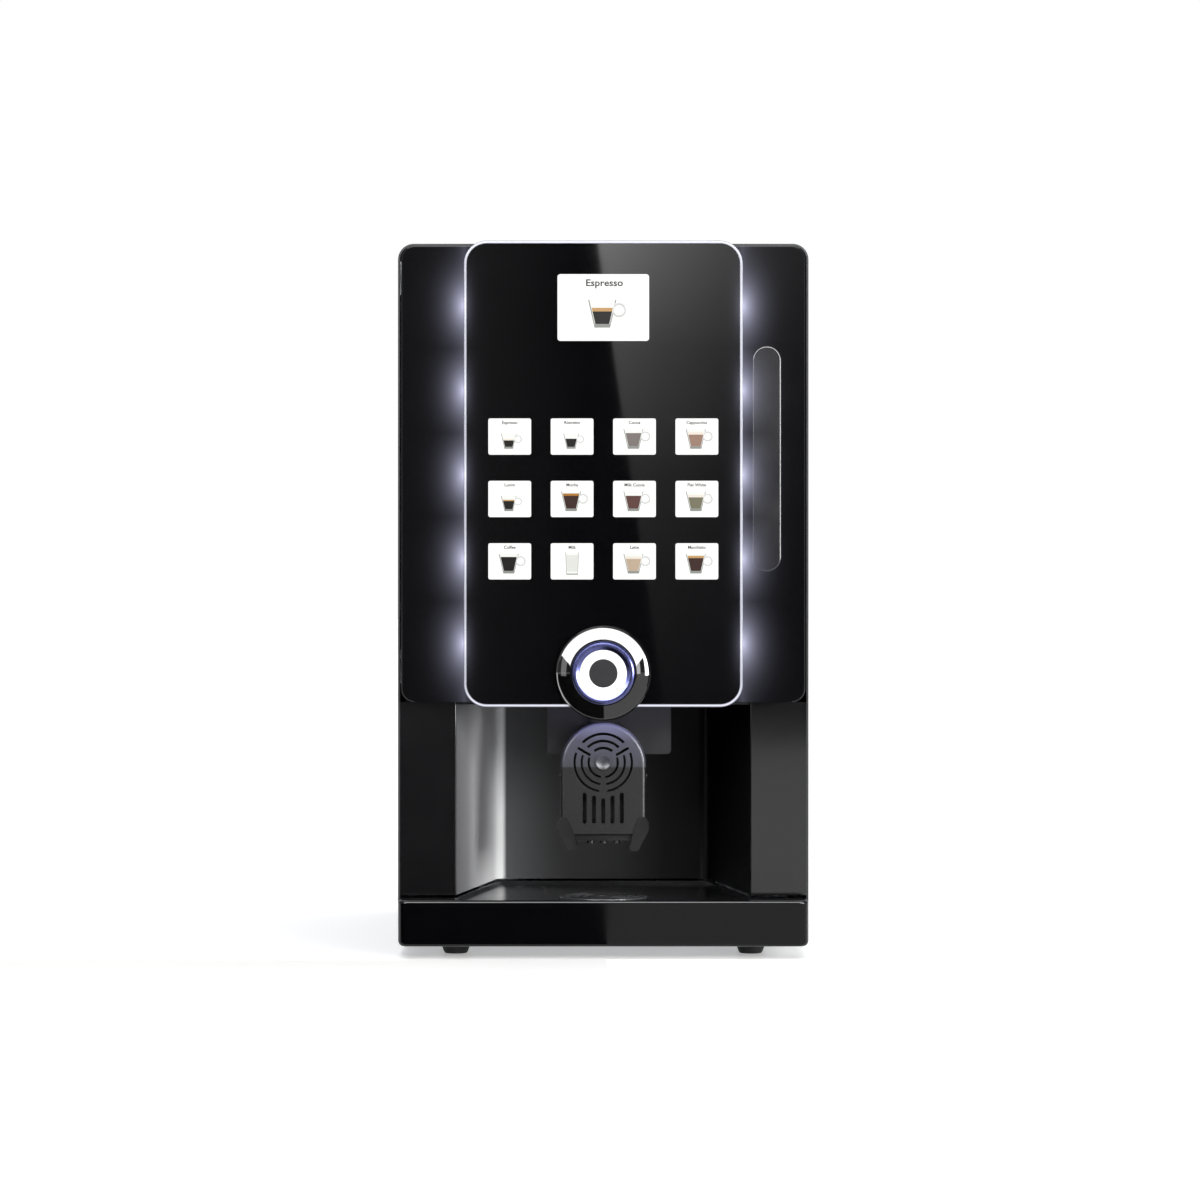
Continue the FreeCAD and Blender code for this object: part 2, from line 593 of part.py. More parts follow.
def key_places():
    z_top = GLASS_TOP - KEY_DROP
    first = -KEY_PITCH * (KEY_COLUMNS - 1) / 2
    return [(first + c * KEY_PITCH, z_top - r * KEY_PITCH)
            for r in range(KEY_ROWS) for c in range(KEY_COLUMNS)]


def window_blocks(shrink, y0, y1):
    """The screen and the twelve key windows, as rounded blocks."""
    z = GLASS_TOP - SCREEN_DROP
    w, h = SCREEN_W / 2 - shrink, SCREEN_H / 2 - shrink
    blocks = [rounded(block(-w, w, y0, y1, z - h, z + h), SCREEN_R, Y)]
    w, h = KEY_W / 2 - shrink, KEY_H / 2 - shrink
    for x, z in key_places():
        blocks.append(rounded(block(x - w, x + w, y0, y1, z - h, z + h), KEY_R, Y))
    return blocks


def glass_panel():
    glass = plate_xz(y0=GLASS_FACE, y1=GLASS_FACE + GLASS_T, **glass_outline())
    for hole in window_blocks(0, GLASS_FACE - 1, GLASS_FACE + GLASS_T + 1):
        glass = glass.cut(hole)
    return glass.cut(rod(BODY_R + GAP, V(0, GLASS_FACE - 1, KNOB_Z), Y, GLASS_T + 2))


def light_guide():
    """Translucent frame round the glass, whose front edge is lit from behind."""
    outer = plate_xz(GLASS_HALF, GLASS_BOTTOM, GLASS_TOP, GLASS_CORNER_R,
                     GLASS_FACE - 0.4, GLASS_FACE + GLASS_T + 2)
    front = [e for e in outer.Edges if e.BoundBox.YMax < GLASS_FACE]
    outer = outer.makeFillet(0.9, front)
    half, z0, z1 = carrier_outline()
    frame = outer.cut(plate_xz(y0=GLASS_FACE - 2, y1=GLASS_FACE + GLASS_T, **glass_outline()))
    frame = frame.cut(plate_xz(half + 0.1, z0 - 0.1, z1 + 0.1, BACKING_R + 0.1,
                               GLASS_FACE - 2, DOOR_FACE))
    return frame.cut(rod(BODY_R + GAP, V(0, GLASS_FACE - 2, KNOB_Z), Y, 20))


def display_windows():
    return group(window_blocks(0.05, GLASS_FACE, GLASS_FACE + GLASS_T))


def led_places():
    return [GLASS_TOP - LED_DROP - n * LED_PITCH for n in range(LED_COUNT)]


def led_strips():
    """A board on each side face of the backing, with five lamps that face the wing."""
    strips = []
    half, z0, z1 = carrier_outline()
    y0, y1 = GLASS_FACE + GLASS_T + 2.2, DOOR_FACE - 0.6
    lamps = led_places()
    for side in (-1, 1):
        board = sorted((side * half, side * (half + 1.2)))
        shapes = [block(*board, y0, y1, lamps[-1] - 20, lamps[0] + 20)]
        for z in lamps:
            lamp = sorted((side * (half + 1.2), side * (half + 2.6)))
            shapes.append(block(*lamp, y0 + 0.8, y1 - 0.8, z - 2.5, z + 2.5))
        strips.append(joined(shapes))
    return group(strips)


def display_board():
    """Circuit board behind the windows, on posts in the inner cover."""
    y = DOOR_BACK + 6
    half = GLASS_HALF - 20
    z0, z1 = KNOB_Z + CAP_R + 60, GLASS_TOP - 40
    board = block(-half, half, y, y + 1.6, z0, z1)
    parts = [board]
    for x in (-half + 8, half - 8):
        for z in (z0 + 8, z1 - 8):
            parts.append(rod(3, V(x, y + 1.6, z), Y, COVER_BULGE - 2 - 7.6))
    for x, z in key_places()[::3]:
        parts.append(block(x - 9, x + 9, y - 2.5, y, z - 9, z + 9))
    for k in range(5):
        parts.append(rod(4, V(-60 + 30 * k, y - 8, z1 - 24), Y, 8))
    return joined(parts)


def knob_bezel():
    """Domed ring on the lower edge of the glass, with a barrel that goes through it."""
    y = KNOB_BACK
    inner = CAP_R + CAP_PLAY
    span = KNOB_R - inner
    ring = [(inner, 0), (KNOB_R - 0.6, 0), (KNOB_R, -0.6), (KNOB_R, -2.6), (KNOB_R - 0.7, -3.4),
            (KNOB_R - 1.6, -3.2), (KNOB_R - 2.0, -2.8), (KNOB_R - 0.383 * span, -4.6),
            (KNOB_R - 0.639 * span, -5.9),
            (inner + 1.6, -6.9), (inner + 0.5, -6.9), (inner, -6.4)]
    dome = turned(ring, V(0, y, KNOB_Z))
    barrel_out, barrel_in = BODY_R, BODY_R - 2.5
    barrel = turned([(barrel_in, 0.1), (barrel_out, 0.1), (barrel_out, BARREL_L),
                     (barrel_in, BARREL_L)], V(0, y, KNOB_Z))
    floor = turned([(barrel_in, 0.1), (inner + 1, 0.1), (inner + 1, -1.6), (barrel_in, -1.6)],
                   V(0, y, KNOB_Z))
    end = turned([(0, BARREL_L - 2), (barrel_out, BARREL_L - 2), (barrel_out, BARREL_L),
                  (0, BARREL_L)], V(0, y, KNOB_Z))
    return joined([dome, floor, barrel, end])


BARREL_L = 16.8
KNOB_BACK = GLASS_FACE - 0.5    # the bezel rests on the lit rim, just off the glass


def start_button():
    """Push cap: a rounded outer ring and a flat centre disc on one stem."""
    y = KNOB_BACK
    rim, light, disc = CAP_R, LIGHT_R, DISC_R
    face = -8.6
    top = turned([(0, -2.0 - BUTTON_TRAVEL), (rim, -2.0 - BUTTON_TRAVEL), (rim, face + 2.2),
                  (rim - 0.7, face + 0.9), (rim - 2.2, face), (rim - 4.4, face + 0.1),
                  (light + 0.6, face + 1.6), (light, face + 1.8), (light, -5.2), (disc, -5.2),
                  (disc, face + 1.5), (0, face + 1.5)], V(0, y, KNOB_Z))
    stem = turned([(0, -2.0 - BUTTON_TRAVEL), (7, -2.0 - BUTTON_TRAVEL), (7, 12.4), (0, 12.4)],
                  V(0, y, KNOB_Z))
    guide = BODY_R - 2.5 - 0.1
    skirt = turned([(guide - 2, -4.0), (guide, -4.0), (guide, 8), (guide - 2, 8)],
                   V(0, y, KNOB_Z))
    return joined([top, stem, skirt])


def start_button_light():
    """Diffuser ring let into the push cap."""
    y = KNOB_BACK
    face = -8.6
    return turned([(DISC_R, -5.2), (LIGHT_R, -5.2), (LIGHT_R, face + 2.0),
                   (LIGHT_R - 0.5, face + 1.6), (DISC_R + 0.5, face + 1.6), (DISC_R, face + 1.8)],
                  V(0, y, KNOB_Z))


def door_grip():
    """Long pad on the right-hand wing, undercut on its outer side for the fingers."""
    z = DOOR_BOTTOM + GRIP_RISE
    w, h = GRIP_W / 2, GRIP_H / 2
    y0, y1 = DOOR_FACE - GRIP_T, DOOR_FACE
    pad = rounded(block(GRIP_X - w, GRIP_X + w, y0, y1, z - h, z + h), w - 0.2, Y)
    front = [e for e in pad.Edges if e.BoundBox.YMax < y0 + 1e-6]
    pad = pad.makeFillet(1.6, front)
    scoop = block(GRIP_X + 1, GRIP_X + w + 1, y0 + 3, y1 - 0.8, z - h + 22, z + h - 22)
    return pad.cut(rounded(scoop, 1.4, Z, lambda p: p.x < GRIP_X + 2))


# ---------------------------------------------------------------- spout
def spout_outline(inset, y0, y1, bottom):
    """The arch-topped outline of the spout, inset all round except below."""
    r = SPOUT_HALF - inset
    round_top = rod(r, V(0, y0, SPOUT_ARCH_Z), Y, y1 - y0)
    return joined([round_top, block(-r, r, y0, y1, bottom, SPOUT_ARCH_Z)])


def grip_lug(side):
    pts = [(-0.3, 17.4), (-6.8, 17.4), (-11.8, 6.4), (-17.3, -15.1), (-14.3, -17.6),
           (-7.8, -17.1), (-3.3, -7.6), (2.7, 3.4), (3.0, 10.4)]
    lug = prism_xz([(side * (SPOUT_HALF + x), SPOUT_BOTTOM + z) for x, z in pts],
                   SPOUT_FACE - 1.5, SPOUT_BACK - 3)
    return rounded(lug, 1.2, Y)


def spout_cover():
    y0 = SPOUT_FACE
    cover = spout_outline(0, y0, SPOUT_BACK - 2, SPOUT_BOTTOM)
    front = [e for e in cover.Edges if e.BoundBox.YMax < y0 + 1e-6
             and e.BoundBox.ZMax > SPOUT_BOTTOM + 1]
    cover = cover.makeFillet(4.0, front)
    cover = cover.cut(spout_outline(SPOUT_WALL, y0 + SPOUT_WALL, SPOUT_BACK, SPOUT_BOTTOM - 1))
    centre = V(0, y0 - 1, SPOUT_ARCH_Z + 3)
    cut = []
    for radius in GRILLE_ARCS:
        reach = 38 if radius < 18 else 46
        cut.append(arc_slot(centre, radius, 2.7, 90 - reach, 90 + reach, 8))
        cut.append(arc_slot(centre, radius, 2.3, 160, 262, 8))
        cut.append(arc_slot(centre, radius, 2.3, 278, 380, 8))
    for side in (-1, 1):
        ray = block(15, 30, y0 - 1, y0 + 7, centre.z - 1.4, centre.z + 1.4)
        turn = 30 if side > 0 else 150
        ray.rotate(V(0, 0, centre.z), V(0, -1, 0), turn)
        cut.append(ray)
    for n in range(-2, 3):
        top = SPOUT_BOTTOM + 36.5 + 2.9 * abs(n)
        cut.append(long_slot_xz(n * 9.5, SPOUT_BOTTOM + 10.5, top, 4.2, y0 - 1, y0 + 7))
    cover = cover.cut(Part.makeCompound(cut))
    boss = rod(8.2, V(0, y0 - 1.2, centre.z), Y, 2.4)
    dish = Part.makeSphere(16, V(0, y0 - 15.6, centre.z))
    cover = cover.fuse(boss).cut(dish)
    for side in (-1, 1):
        pin = rod(2.6, V(side * (SPOUT_HALF - 1), SPOUT_FACE + 12, SPOUT_ARCH_Z - 11), X * side, 2.2)
        cover = cover.fuse(pin).cut(grip_lug(side))
    return cover.removeSplitter()


GRILLE_ARCS = (14.9, 22.1, 29.3)


def spout_body():
    """Manifold behind the cover: nozzle block, lugs to lift it by, and the rail shoe."""
    y1 = SPOUT_BACK
    core = spout_outline(SPOUT_WALL + 0.1, SPOUT_FACE + 15, y1 - 2, SPOUT_BOTTOM + 6)
    back = block(-22, 22, y1 - 2, y1 - 0.4, SPOUT_BOTTOM + 20, SPOUT_TOP - 8)
    nose = block(-32, 32, SPOUT_FACE + 4, y1 - 2, SPOUT_BOTTOM - 7, SPOUT_BOTTOM + 8)
    shoe = block(-20, 20, y1 - 2, HOUSING_FACE - 0.5, SHOE_BOTTOM, SHOE_BOTTOM + 24)
    shape = joined([core, nose, back, shoe, grip_lug(-1), grip_lug(1)])
    channel_head = block(-RAIL_HEAD - GAP, RAIL_HEAD + GAP, RAIL_FRONT - GAP, RAIL_FRONT + 3 + GAP,
                         SHOE_BOTTOM - 1, SHOE_BOTTOM + 25)
    channel_stem = block(-RAIL_STEM - GAP, RAIL_STEM + GAP, RAIL_FRONT + 3, HOUSING_FACE + 1,
                         SHOE_BOTTOM - 1, SHOE_BOTTOM + 25)
    shape = shape.cut(channel_head).cut(channel_stem)
    for x in nozzle_places():
        shape = shape.cut(rod(NOZZLE_R, V(x, NOZZLE_Y, 0), Z, SPOUT_BOTTOM + 8))
    return shape


SHOE_BOTTOM = RAIL_BOTTOM + 1


def nozzle_places():
    return (-NOZZLE_X, 0.0, NOZZLE_X)


def outlet_nozzles():
    nozzles = []
    for x in nozzle_places():
        z = SPOUT_BOTTOM - 10
        pipe = rod(NOZZLE_R, V(x, NOZZLE_Y, z), Z, 18)
        nozzles.append(pipe.cut(rod(NOZZLE_BORE, V(x, NOZZLE_Y, z - 1), Z, 20)))
    return group(nozzles)


# ---------------------------------------------------------------- drip tray drawer
def base_fascia():
    """Full-width drawer front with a deck at each side of the tray."""
    half, y0, y1, t = HALF - BASE_MARGIN, FRONT, CAB_FRONT - 0.5, 4.0
    shell = block(-half, half, y0, y1, FOOT_HEIGHT - 1, BASE_TOP)
    shell = rounded(shell, 9, Z, lambda p: p.y < y0 + 1)
    low = [e for e in shell.Edges if e.BoundBox.ZMax < FOOT_HEIGHT and e.BoundBox.YMin < y1 - 1]
    shell = shell.makeFillet(5, [e for e in low if e.BoundBox.YMax < y1 - 0.1
                                 or e.BoundBox.XLength < 1])
    high = [e for e in shell.Edges if e.BoundBox.ZMin > BASE_TOP - 0.1
            and not (e.BoundBox.YMin > y1 - 0.1)]
    shell = shell.makeFillet(3.2, high)
    shell = shell.cut(block(-half + t, half - t, y0 + t, y1 + 1, FOOT_HEIGHT + 3, BASE_TOP - t))
    return shell.cut(block(-TRAY_HALF - 0.3, TRAY_HALF + 0.3, y0 + t, y1 + 1,
                           BASE_TOP - t - 1, BASE_TOP + 1))


TRAY_HALF = NICHE_HALF_FRONT - 0.8


def tray_points(inset):
    b = NICHE_HALF_BACK - 1.2
    y1 = NICHE_BACK - 2.5
    y0 = FRONT + 4.3
    return [(-TRAY_HALF + inset, y0 + inset), (TRAY_HALF - inset, y0 + inset),
            (TRAY_HALF - inset, CAB_FRONT + 1), (b - inset, y1 - inset),
            (-b + inset, y1 - inset), (-TRAY_HALF + inset, CAB_FRONT + 1)]


def tray_plate():
    """Shallow tray with a raised rim and a round seat for the cup grille."""
    plate = prism_xy(tray_points(0), BASIN_TOP, TRAY_TOP)
    plate = plate.cut(prism_xy(tray_points(2.6), TRAY_FLOOR - 0.5, TRAY_TOP + 1))
    centre = V(0, GRILLE_Y, 0)
    plate = plate.cut(rod(GRILLE_R + 0.5, centre + Z * (TRAY_FLOOR - 0.5 - 2), Z, 20))
    return plate.cut(rod(GRILLE_R - 4, centre, Z, 100))


def cup_grille():
    """Round lift-out grate with three rings of drain slots at each side."""
    z0 = TRAY_FLOOR - 0.5 - 2 + 0.1
    disc = rod(GRILLE_R, V(0, GRILLE_Y, z0), Z, GRILLE_T)
    disc = disc.makeFillet(0.8, [e for e in disc.Edges if e.BoundBox.ZMin > z0 + 1
                                 and e.BoundBox.ZLength < 1e-6])
    cut = []
    for radius in (18, 27, 36):
        for start, stop in ((-62, -4), (4, 62), (118, 176), (184, 242)):
            slot = arc_slot(V(0, 0, 0), radius, 5, start, stop, 10)
            slot.rotate(V(0, 0, 0), X, 90)
            slot.translate(V(0, GRILLE_Y, z0 - 1))
            cut.append(slot)
    disc = disc.cut(Part.makeCompound(cut))
    return disc.cut(rod(5, V(0, GRILLE_Y, z0 - 1), Z, 10))


def drip_basin():
    """Waste basin under the tray, with flanges that ride on the chassis runners."""
    x, t = BASIN_HALF, 2.0
    y0, y1 = FRONT + 6, NICHE_BACK - 4
    z0, z1 = RUNNER_TOP - 4, BASIN_TOP
    tub = block(-x, x, y0, y1, z0, z1)
    tub = tub.cut(block(-x + t, x - t, y0 + t, y1 - t, z0 + t, z1 + 1))
    parts = [tub]
    for side in (-1, 1):
        wing = sorted((side * x, side * (RUNNER_OUT + 1)))
        parts.append(block(*wing, y0 + 12, y1 - 10, RUNNER_TOP + 0.2, RUNNER_TOP + 2.2))
    parts.append(block(-60, 60, FRONT + 4, y0, z0 + 6, z1 - 6))
    return joined(parts)


# ---------------------------------------------------------------- lock and switch
def lock_cylinder():
    barrel = rod(LOCK_R, V(INNER - 22, LOCK_Y, LOCK_Z), X, 22 + SHEET)
    slot = block(HALF - 2.5, HALF + 1, LOCK_Y - 0.8, LOCK_Y + 0.8, LOCK_Z - 4, LOCK_Z + 4)
    nut = rod(LOCK_R + 4, V(INNER - 4, LOCK_Y, LOCK_Z), X, 4)
    body = joined([barrel, nut]).cut(slot)
    return body.cut(rod(2.0, V(INNER - 23, LOCK_Y, LOCK_Z), X, 12))


def lock_cam():
    """Cam on the lock's spindle. At rest it points forward, and it turns up to lock."""
    x = INNER - 22
    arm = block(x - 3.3, x - 0.3, LOCK_Y - 22, LOCK_Y, LOCK_Z - 4.5, LOCK_Z + 4.5)
    hub = rod(6, V(x - 3.3, LOCK_Y, LOCK_Z), X, 3)
    spindle = rod(2.0 - PIN_PLAY, V(x - 0.3, LOCK_Y, LOCK_Z), X, 10)
    return joined([arm, hub, spindle])


def power_inlet():
    """Mains socket and switch bezel, from inside the rear panel."""
    y0 = REAR - SHEET - 20
    flange = block(INLET_X - 26, INLET_X + 26, REAR, REAR + 2, INLET_Z - 16, INLET_Z + 16)
    body = block(INLET_X - 24, INLET_X + 24, y0, REAR, INLET_Z - 14, INLET_Z + 14)
    shape = joined([flange, body])
    shape = shape.cut(rounded(block(INLET_X - 21, INLET_X + 4, y0 + 4, REAR + 3,
                                    INLET_Z - 9, INLET_Z + 9), 3, Y))
    for dx in (-14.5, -8.5, -2.5):
        blade_z = INLET_Z + (2.5 if dx == -8.5 else -2)
        shape = shape.fuse(block(INLET_X + dx - 0.8, INLET_X + dx + 0.8, y0 + 4, REAR - 4,
                                 blade_z - 2, blade_z + 2))
    shape = shape.cut(block(INLET_X + 8, INLET_X + 22, y0 + 6, REAR + 3, INLET_Z - 10, INLET_Z + 10))
    pin = rod(1.5, V(INLET_X + 7, ROCKER_Y(), INLET_Z), X, 16)
    return joined([shape, pin])


def ROCKER_Y():
    return REAR - 5.0


def power_rocker():
    """Rocker of the mains switch, on a cross pin; it tips both ways."""
    y, z = ROCKER_Y(), INLET_Z
    pts = [(y - 4, z - 4), (y - 4, z + 4), (y + 5.0, z + 8.4), (y + 7.2, z + 8.6),
           (y + 5.6, z), (y + 7.2, z - 8.6), (y + 5.0, z - 8.4)]
    rocker = prism_yz(pts, INLET_X + 8.4, INLET_X + 21.6)
    return rocker.cut(rod(1.5 + PIN_PLAY, V(INLET_X, y, z), X, 30))


def water_inlet():
    """Three-quarter-inch male hose tail with a flange on the rear panel."""
    y0 = REAR - SHEET - 18
    seat = REAR + 0.5
    thread = rod(WATER_R, V(WATER_X, seat, WATER_Z), Y, BACK - seat)
    neck = rod(WATER_R - 1.2, V(WATER_X, y0, WATER_Z), Y, seat - y0)
    flange = rod(19, V(WATER_X, REAR - SHEET - 4, WATER_Z), Y, 4)
    shape = joined([thread, neck, flange])
    return shape.cut(rod(8, V(WATER_X, y0 - 1, WATER_Z), Y, BACK - y0 + 2))


WATER_R = 13.2


# ---------------------------------------------------------------- works inside
def bean_hopper():
    """Open-topped hopper that narrows to the grinder's throat."""
    z0, z1 = GRINDER_TOP(), HEIGHT - 32
    x, t = LEFT_X, 2.5
    y0, y1 = STACK_Y() - 62, PLATE_Y - 4
    w = 58
    top = block(x - w, x + w, y0, y1, z0 + 55, z1)
    yc = STACK_Y()
    lower = Part.makeLoft([rect_wire(x - w, x + w, y0, y1, z0 + 55),
                           rect_wire(x - 24, x + 24, yc - 24, yc + 24, z0 + 8)], True)
    neck = block(x - 24, x + 24, yc - 24, yc + 24, z0, z0 + 8)
    inside = Part.makeLoft([rect_wire(x - w + t, x + w - t, y0 + t, y1 - t, z0 + 55),
                            rect_wire(x - 24 + t, x + 24 - t, yc - 24 + t, yc + 24 - t, z0 + 8)],
                           True)
    inside_top = block(x - w + t, x + w - t, y0 + t, y1 - t, z0 + 55, z1 + 1)
    throat = block(x - 24 + t, x + 24 - t, yc - 24 + t, yc + 24 - t, z0 - 1, z0 + 8)
    return joined([top, lower, neck]).cut(joined([inside, inside_top, throat]))


def rect_wire(x0, x1, y0, y1, z):
    return Part.makePolygon([V(x0, y0, z), V(x1, y0, z), V(x1, y1, z), V(x0, y1, z), V(x0, y0, z)])


def STACK_Y():
    return PLATE_Y - 92.0


def GRINDER_TOP():
    return HEIGHT - 168.0


def grinder():
    """Motor with the grinding head on top, clamped to the equipment plate."""
    x, y, z1 = LEFT_X, STACK_Y(), GRINDER_TOP()
    head = rod(38, V(x, y, z1 - 42), Z, 42)
    motor = rod(31, V(x, y, z1 - 118), Z, 76)
    arm = block(x - 14, x + 14, y, PLATE_Y, z1 - 70, z1 - 46)
    spout = block(x + 30, x + 46, y - 10, y + 10, z1 - 40, z1 - 16)
    body = joined([head, motor, arm, spout])
    body = body.cut(rod(30, V(x, y, z1 - 26), Z, 27))
    return body.cut(rod(4.1 + PIN_PLAY, V(x, y, z1 - 40), Z, 20))


def grinder_burr():
    """Turning burr: a fluted cone on the motor shaft."""
    x, y, z1 = LEFT_X, STACK_Y(), GRINDER_TOP()
    cone = turned([(0, 0), (27, 0), (27, 6), (12, 20), (0, 20)], V(x, y, z1 - 24), Z)
    shaft = rod(4.1, V(x, y, z1 - 38), Z, 15)
    cone = joined([cone, shaft])
    for k in range(12):
        flute = block(14, 30, -1.2, 1.2, 4, 22)
        flute.rotate(V(0, 0, 0), Z, 30 * k)
        flute.translate(V(x, y, z1 - 24))
        cone = cone.cut(flute)
    return cone


BREW_R, BREW_BORE = 30.0, 24.0


def BREW():
    """Brewer's centre line and its lowest level."""
    return LEFT_X, STACK_Y() - 2, GRINDER_TOP() - 118 - 8 - 84


def brew_unit():
    """C-frame with the brewing cylinder, bolted to the equipment plate."""
    x, y, z = BREW()
    cylinder = rod(BREW_R, V(x, y, z + 10), Z, 48)
    floor = block(x - 40, x + 40, y - 34, PLATE_Y, z, z + 10)
    back = block(x - 40, x + 40, PLATE_Y - 8, PLATE_Y, z, z + 84)
    roof = block(x - 40, x + 40, y - 34, PLATE_Y, z + 74, z + 84)
    shape = joined([cylinder, floor, back, roof])
    shape = shape.cut(rod(BREW_BORE, V(x, y, z + 8), Z, 51))
    shape = shape.cut(rod(5 + PIN_PLAY, V(x, y, z - 1), Z, 12))
    plug = rod(BREW_BORE - 3, V(x, y, z + 66), Z, 8)
    return joined([shape, plug])


def brew_piston():
    x, y, z = BREW()
    crown = rod(BREW_BORE - 0.1, V(x, y, z + 14), Z, 12)
    stem = rod(5, V(x, y, z - 20), Z, 34)
    return joined([crown, stem])


def grounds_bin():
    """Open bin for spent coffee, standing on the deck under the brewer."""
    x, t = LEFT_X, 2.0
    y0, y1 = HINGE_Y + 56, PLATE_Y - 60
    z0, z1 = DECK_TOP, DECK_TOP + 62
    tub = rounded(block(x - 55, x + 55, y0, y1, z0, z1), 8, Z)
    tub = tub.cut(rounded(block(x - 55 + t, x + 55 - t, y0 + t, y1 - t, z0 + t, z1 + 1), 6, Z))
    handle = block(x - 25, x + 25, y0 - 8, y0 + 1, z1 - 14, z1 - 10)
    return joined([tub, handle])


def powder_canisters():
    cans = []
    t = CANISTER_WALL
    for x in CANISTERS():
        y1 = PLATE_Y - 0.5
        y0 = y1 - CANISTER_D + 1
        w, z1 = CANISTER_W / 2, SHELF + CANISTER_H
        can = rounded(block(x - w, x + w, y0, y1, SHELF, z1), 5, Z)
        can = can.cut(rounded(block(x - w + t, x + w - t, y0 + t, y1 - t, AUGER_Z() + 4, z1 + 1),
                              3, Z))
        trough = block(x - AUGER_R - 2, x + AUGER_R + 2, y0 + t, y1 - t, SHELF + t, AUGER_Z() + 5)
        can = can.cut(trough)
        can = can.cut(rod(AUGER_R + 1, V(x, y0 - 1, AUGER_Z()), Y, t + 2))
        can = can.cut(rod(SHAFT_R + PIN_PLAY, V(x, y1 - t - 1, AUGER_Z()), Y, t + 2))
        cans.append(can)
    return group(cans)


def CANISTER_FRONT():
    return PLATE_Y - 0.5 - CANISTER_D + 1


def canister_lids():
    """Drop-on lids of the two canisters and the bean hopper."""
    lids, t = [], 2.0
    for x in CANISTERS():
        w, z = CANISTER_W / 2, SHELF + CANISTER_H
        y0, y1 = CANISTER_FRONT(), PLATE_Y - 0.5
        top = rounded(block(x - w - 1, x + w + 1, y0 - 1, y1, z, z + t), 5, Z)
        plug = block(x - w + 4, x + w - 4, y0 + 4, y1 - 4, z - 4, z)
        plug = plug.cut(block(x - w + 6, x + w - 6, y0 + 6, y1 - 6, z - 5, z))
        knob = rod(9, V(x, y0 + 40, z + t), Z, 6)
        lids.append(joined([top, plug, knob]))
    x, z = LEFT_X, HEIGHT - 32
    y0, y1 = STACK_Y() - 62, PLATE_Y - 4
    top = rounded(block(x - 58, x + 58, y0, y1, z, z + t), 5, Z)
    lids.append(joined([top, rod(9, V(x, y0 + 40, z + t), Z, 6)]))
    return group(lids)


def canister_outlets():
    """Elbows on the canister fronts that drop the powder into the bowls."""
    elbows = []
    for x in CANISTERS():
        y1, r = CANISTER_FRONT(), AUGER_R + 4
        pipe = rod(r, V(x, y1 - 30, AUGER_Z()), Y, 30)
        drop = rod(r, V(x, y1 - 30 + r, AUGER_Z() - 38), Z, 38)
        solid = joined([pipe, drop])
        solid = solid.cut(rod(AUGER_R + 1, V(x, y1 - 27, AUGER_Z()), Y, 28))
        solid = solid.cut(rod(AUGER_R + 1, V(x, y1 - 30 + r, AUGER_Z() - 39), Z, 39))
        elbows.append(solid)
    return group(elbows)


def auger(x):
    """Feed screw: tilted flights on a shaft that ends in the gear motor."""
    y0, y1 = CANISTER_FRONT() - 8, PLATE_Y + SHEET + 2
    shapes = [rod(SHAFT_R, V(x, y0, AUGER_Z()), Y, y1 - y0)]
    count = int((CANISTER_D - 16) / 12)
    for n in range(count):
        flight = rod(AUGER_R - 1.2, V(0, -0.9, 0), Y, 1.8)
        flight.rotate(V(0, 0, 0), X, 16)
        flight.translate(V(x, y0 + 6 + 12 * n, AUGER_Z()))
        shapes.append(flight)
    return joined(shapes)


def bowl_y():
    return CANISTER_FRONT() - 30 + AUGER_R + 4


def mixing_bowls():
    """Round cups on their sides, with a wide mouth above and a spigot below."""
    bowls = []
    for x in CANISTERS():
        z, t = BOWL_Z(), 2.5
        y0, y1 = bowl_y() - 22, bowl_y() + 26
        drum = rod(BOWL_R, V(x, y0, z), Y, y1 - y0)
        mouth = block(x - BOWL_R, x + BOWL_R, y0, y1, z, SHELF - SHEET - 12)
        spigot = rod(7, V(x, bowl_y(), z - BOWL_R - 14), Z, 20)
        arms = block(x - 10, x + 10, y1, PLATE_Y, z - BOWL_R, z - BOWL_R + 8)
        solid = joined([drum, mouth, spigot, arms])
        hollow = joined([rod(BOWL_R - t, V(x, y0 + t, z), Y, y1 - y0 - 2 * t),
                         block(x - BOWL_R + t, x + BOWL_R - t, y0 + t, y1 - t, z, SHELF)])
        solid = solid.cut(hollow).cut(rod(5, V(x, bowl_y(), z - BOWL_R - 15), Z, 25))
        bowls.append(solid.cut(rod(SHAFT_R + PIN_PLAY, V(x, y1 - t - 1, z), Y, t + 2)))
    return group(bowls)


def whisk(x):
    """Mixing wheel: a disc with eight vanes on a long shaft."""
    z, y = BOWL_Z(), bowl_y()
    shapes = [rod(SHAFT_R, V(x, y - 6, z), Y, PLATE_Y + SHEET + 2 - y + 6),
              rod(WHISK_R - 4, V(x, y + 8, z), Y, 2)]
    for k in range(8):
        vane = block(1, WHISK_R, -2, 9, -0.8, 0.8)
        vane.rotate(V(0, 0, 0), Y, 45 * k)
        vane.translate(V(x, y, z))
        shapes.append(vane)
    return joined(shapes)


def gear_motors():
    """Motors behind the equipment plate, for the augers and whisks, and the brewer's drive."""
    motors = []
    y = PLATE_Y + SHEET
    for x in CANISTERS():
        for z in (AUGER_Z(), BOWL_Z()):
            box = block(x - 20, x + 20, y, y + 18, z - 26, z + 20)
            can = rod(16, V(x, y + 18, z - 8), Y, 34)
            motor = joined([box, can])
            motors.append(motor.cut(rod(SHAFT_R + PIN_PLAY, V(x, y - 1, z), Y, 4)))
    x, _, z = BREW()
    drive = joined([block(x - 34, x + 34, y, y + 30, z + 6, z + 62),
                    rod(18, V(x, y + 30, z + 34), Y, 40)])
    motors.append(drive)
    return group(motors)


BOILER_R, BOILER_H = 52.0, 150.0


